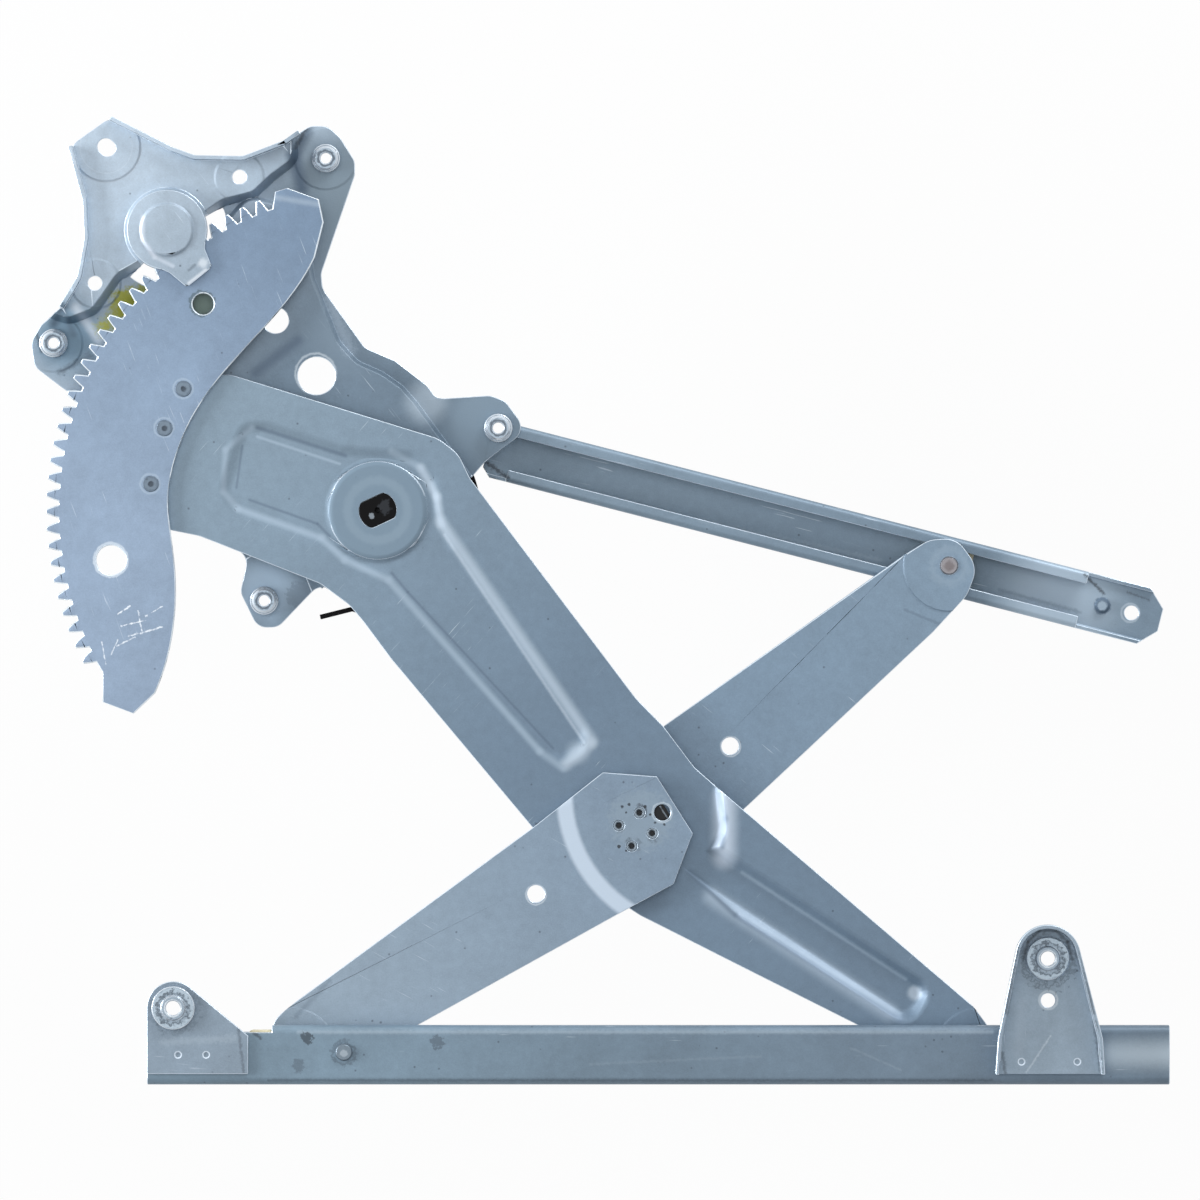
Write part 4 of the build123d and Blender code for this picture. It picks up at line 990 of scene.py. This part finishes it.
class REGULATOR_OT_channel(bpy.types.Operator):
    """Finish the glass channel with its stop, shoes and pins"""

    bl_idname = "regulator.channel"
    bl_label = "Glass Channel"

    def execute(self, context):
        look = context.scene.regulator_finish
        dirt = full(look.dirt)
        marks = [
            fade(*CHANNEL_SHADE, tone(108, 126, 143), 0.9),
            *streak(CHANNEL_TOP_LIGHT, 1.6, tone(176, 192, 206), 0.35, 0.3),
            *streak(CHANNEL_FOOT_DIRT, 1.0, dirt, 0.3, 0.6),
            spot(WEB_DARK_SPOT, 3.0, dirt, 0.7, breakup=0.9),
            *[spot(place, 3.4, tone(72, 84, 96), strength, breakup=0.8) for place, strength in WEB_SPOTS],
            rim(CHANNEL_STOP, 6.4, 3.8, tone(70, 82, 94), 0.6, 1.6, 0.4),
            *streak(WEB_SCRATCH, 1.0, tone(150, 166, 180), 0.2, 0.8),
            *streak(WEB_SHORT_SCRATCH, 0.8, tone(158, 174, 188), 0.2, 0.8),
            # Painted light on the channel's end, which the bracket's wall shades under the low light
            *streak(CHANNEL_END_LIGHT, 11.0, tone(184, 200, 213), 0.85, 0.05),
            *streak(NOTCH_DIRT, 1.2, dirt, 0.6, 0.6),
        ]
        channel = plated("channel_zinc", full(look.channel), marks, turn=0.0, cloud=0.8, scuffs=0.25,
                         dirt=0.6)
        pressed_copy("glass_channel", "channel_sheet", "channel", channel, bare_edge("channel_edge", look),
                     0, look.cut)
        stop_marks = [spot(CHANNEL_STOP, 2.0, tone(176, 188, 198), 0.5, breakup=0.5)]
        stop = plated("stop_steel", tone(112, 126, 138), stop_marks, roughness=0.35, metal=0.6, scuffs=0.5,
                      dirt=0.6)
        pressed_copy("channel_stop", "stop_head", "channel", stop, stop, 0, 0.4)
        nylon = plain("channel_shoe_cream", NYLON, 0.5, grain=0.3)
        steel = plain("channel_pin_steel", tone(140, 144, 148), 0.35, metal=0.7)
        for node in ("left_shoe", "right_shoe"):
            dress(node, nylon)
        for node in ("left_pin", "right_pin"):
            dress(node, steel)
        return {"FINISHED"}


LEFT_BRACKET_DIRT = (((150, 1075), (200, 1077), 1.6, 0.45, 0.6), ((240, 1024), (246, 1072), 1.2, 0.4, 0.7))
LEFT_NUT_SHADE = (176, 1005)
LEFT_BRACKET_RUB = ((166, 1040), (236, 1036))
LEFT_BRACKET_EDGE = ((154, 1000), (160, 1022))
RIGHT_BRACKET_DIRT = (
    ((1016, 936), (1004, 1010), 1.8, 0.6, 0.6), ((1076, 940), (1090, 1010), 1.5, 0.5, 0.6),
    ((1000, 1050), (1003, 1070), 1.4, 0.5, 0.7), ((1092, 1020), (1098, 1068), 1.4, 0.45, 0.7))
RIGHT_BRACKET_SCRATCH = ((1024, 1070), (1048, 1034))
RIGHT_NUT_SHADE = (1046, 960)
RIGHT_BRACKET_RUB = ((1020, 1000), (1016, 1050))
RIGHT_BRACKET_OUTLINE = ((1021, 958), (1026, 940), (1037, 929), (1054, 929), (1065, 940), (1070, 958))


class REGULATOR_OT_brackets(bpy.types.Operator):
    """Finish the two glass brackets and their nuts"""

    bl_idname = "regulator.brackets"
    bl_label = "Glass Brackets"

    def execute(self, context):
        look = context.scene.regulator_finish
        dirt = full(look.dirt)
        left_marks = [
            *streaks(LEFT_BRACKET_DIRT, dirt),
            rim(LEFT_NUT_SHADE, 13.0, 9.0, tone(102, 118, 132), 0.45, 2.0, 0.4),
            *streak(LEFT_BRACKET_RUB, 3.0, tone(168, 184, 198), 0.4, 0.6),
            *streak(LEFT_BRACKET_EDGE, 1.4, dirt, 0.35, 0.6),
        ]
        left = plated("left_bracket_zinc", full(look.bracket), left_marks, turn=0.1, cloud=0.6, scuffs=0.6,
                      dirt=0.5)
        right_marks = [
            *streaks(RIGHT_BRACKET_DIRT, dirt),
            *streak(RIGHT_BRACKET_SCRATCH, 0.7, tone(198, 212, 224), 0.55, 0.8),
            rim(BRACKET_HOLE, 5.0, 3.2, softness=0.7),
            rim(RIGHT_NUT_SHADE, 13.0, 9.0, dirt, 0.4, 2.0, 0.5),
            *streak(RIGHT_BRACKET_RUB, 4.0, tone(164, 180, 195), 0.35, 0.4),
            *streak(RIGHT_BRACKET_OUTLINE, 1.2, dirt, 0.6, 0.3),
        ]
        right = plated("right_bracket_zinc", tone(152, 170, 186), right_marks, turn=1.5, cloud=0.6,
                       scuffs=0.5, dirt=0.5)
        edge = bare_edge("bracket_edge", look)
        pressed_copy("left_bracket", "left_bracket_sheet", "channel", left, edge, 0, look.cut)
        pressed_copy("right_bracket", "right_bracket_sheet", "channel", right, edge, 0, look.cut)
        nut_marks = []
        for place in GLASS_NUTS:
            nut_marks.append(rim(place, 9.8, 7.6, tone(182, 198, 210), 0.6, 0.8, 0.2))
            nut_marks.append(rim(place, 8.2, 5.8, tone(58, 66, 76), 0.75, 1.2, 0.5))
            nut_marks.append(rim(place, 4.4, 3.2, tone(226, 234, 240), 0.7, 0.6, 0.1))
        nuts = plated("bracket_nut_zinc", tone(148, 164, 178), nut_marks, roughness=0.32, metal=0.6,
                      scuffs=0.7, dirt=0.8)
        nut_edge = plain("bracket_nut_edge", NUT_EDGE, 0.3, metal=0.6)
        pressed_copy("bracket_nuts", "bracket_weld_nuts", "channel", nuts, nut_edge, 0, 0.4)
        return {"FINISHED"}


PICTURE_CENTRE = (600, 600)
CAMERA_HEIGHT = 6.0
SENSOR_WIDTH = 36.0
FLOOR_SIZE = 6.0
FLOOR_WHITE = (0.86, 0.87, 0.88, 1.0)
FLOOR_GLOW = 0.94
WHITE = (1.0, 1.0, 1.0, 1.0)


def straight_rays(tree):
    """1 for rays of the camera and those that mirrors and glass send on, 0 for the light's own."""
    rays = put(tree, "ShaderNodeLightPath")
    share = sums(tree, "MAXIMUM", rays.outputs["Is Camera Ray"], rays.outputs["Is Glossy Ray"])
    return sums(tree, "MAXIMUM", share, rays.outputs["Is Transmission Ray"])


def lamp(name, place, turn, size, power):
    """A flat lamp, its turn in degrees and its size as width and length."""
    bpy.ops.object.light_add(type="AREA", location=place, rotation=[radians(angle) for angle in turn])
    light = bpy.context.active_object
    light.name = name
    light.data.shape = "RECTANGLE"
    light.data.size, light.data.size_y = size
    light.data.energy = power


class REGULATOR_OT_stage(bpy.types.Operator):
    """Set the floor, the lights and the camera"""

    bl_idname = "regulator.stage"
    bl_label = "Stage"

    def execute(self, context):
        look = context.scene.regulator_stage
        clear_selection()
        bpy.ops.mesh.primitive_plane_add(size=FLOOR_SIZE, location=(0.15, 0.0, look.floor_level))
        floor = context.active_object
        floor.name = "studio_floor"
        bpy.ops.object.transform_apply(location=True, rotation=True, scale=True)
        material = bpy.data.materials.new("floor_white")
        material.use_nodes = True
        tree = material.node_tree
        shader = tree.nodes["Principled BSDF"]
        shader.inputs["Base Color"].default_value = FLOOR_WHITE
        shader.inputs["Roughness"].default_value = 0.8
        shader.inputs["Specular IOR Level"].default_value = 0.1
        glow = put(tree, "ShaderNodeEmission", {"Color": WHITE, "Strength": 1.0})
        share = sums(tree, "MULTIPLY", straight_rays(tree), FLOOR_GLOW)
        mixed = put(tree, "ShaderNodeMixShader", {0: share, 1: shader.outputs[0], 2: glow.outputs[0]})
        tree.links.new(mixed.outputs[0], tree.nodes["Material Output"].inputs["Surface"])
        floor.data.materials.append(material)

        lamp("key_light", (-2.35, 0.3, 0.74), (0, -73, -7), (0.7, 1.6), look.key_power)
        lamp("far_light", (1.35, 2.1, 0.95), (-69, 0, -30), (1.4, 0.7), look.far_power)
        lamp("top_light", (-0.2, 0.5, 2.1), (-13, -9, 0), (1.8, 1.8), look.top_power)

        world = bpy.data.worlds.new("studio_world")
        context.scene.world = world
        world.use_nodes = True
        tree = world.node_tree
        background = tree.nodes["Background"]
        background.inputs["Color"].default_value = WHITE
        direct = sums(tree, "MULTIPLY", straight_rays(tree), 1.0 - look.fill)
        tree.links.new(sums(tree, "ADD", look.fill, direct), background.inputs["Strength"])

        bpy.ops.object.camera_add(location=(*seen(*PICTURE_CENTRE), CAMERA_HEIGHT), rotation=(0.0, 0.0, 0.0))
        camera = context.active_object
        camera.name = "photo_camera"
        camera.data.sensor_width = SENSOR_WIDTH
        camera.data.lens = SENSOR_WIDTH * CAMERA_HEIGHT / look.view_width
        camera.data.clip_end = 20.0
        context.scene.camera = camera
        context.scene.view_settings.view_transform = "Standard"
        return {"FINISHED"}


class REGULATOR_PT_panel(bpy.types.Panel):
    bl_label = "Regulator"
    bl_space_type = "VIEW_3D"
    bl_region_type = "UI"
    bl_category = "Regulator"

    def draw(self, context):
        layout = self.layout
        for group in (context.scene.regulator_finish, context.scene.regulator_stage):
            for name in group.__annotations__:
                layout.prop(group, name)
        for operator in OPERATORS:
            layout.operator(operator.bl_idname)


OPERATORS = (
    REGULATOR_OT_stage,
    REGULATOR_OT_base_plate,
    REGULATOR_OT_pivot,
    REGULATOR_OT_lift_arm,
    REGULATOR_OT_sector,
    REGULATOR_OT_cross_arm,
    REGULATOR_OT_crossing,
    REGULATOR_OT_rail,
    REGULATOR_OT_channel,
    REGULATOR_OT_brackets,
)
CLASSES = (RegulatorFinish, RegulatorStage, REGULATOR_PT_panel, *OPERATORS)


def register():
    for item in CLASSES:
        bpy.utils.register_class(item)
    bpy.types.Scene.regulator_finish = bpy.props.PointerProperty(type=RegulatorFinish)
    bpy.types.Scene.regulator_stage = bpy.props.PointerProperty(type=RegulatorStage)


def unregister():
    del bpy.types.Scene.regulator_stage
    del bpy.types.Scene.regulator_finish
    for item in reversed(CLASSES):
        bpy.utils.unregister_class(item)


def main():
    register()
    groups["Zinc Grain"] = zinc_grain()
    groups["Spot"] = spot_mask()
    groups["Streak"] = streak_mask()
    groups["Scuffs"] = scuff_mask()
    groups["Specks"] = speck_mask()
    bpy.ops.regulator.stage()
    bpy.ops.regulator.base_plate()
    bpy.ops.regulator.pivot()
    bpy.ops.regulator.lift_arm()
    bpy.ops.regulator.sector()
    bpy.ops.regulator.cross_arm()
    bpy.ops.regulator.crossing()
    bpy.ops.regulator.rail()
    bpy.ops.regulator.channel()
    bpy.ops.regulator.brackets()


if __name__ == "__main__":
    main()
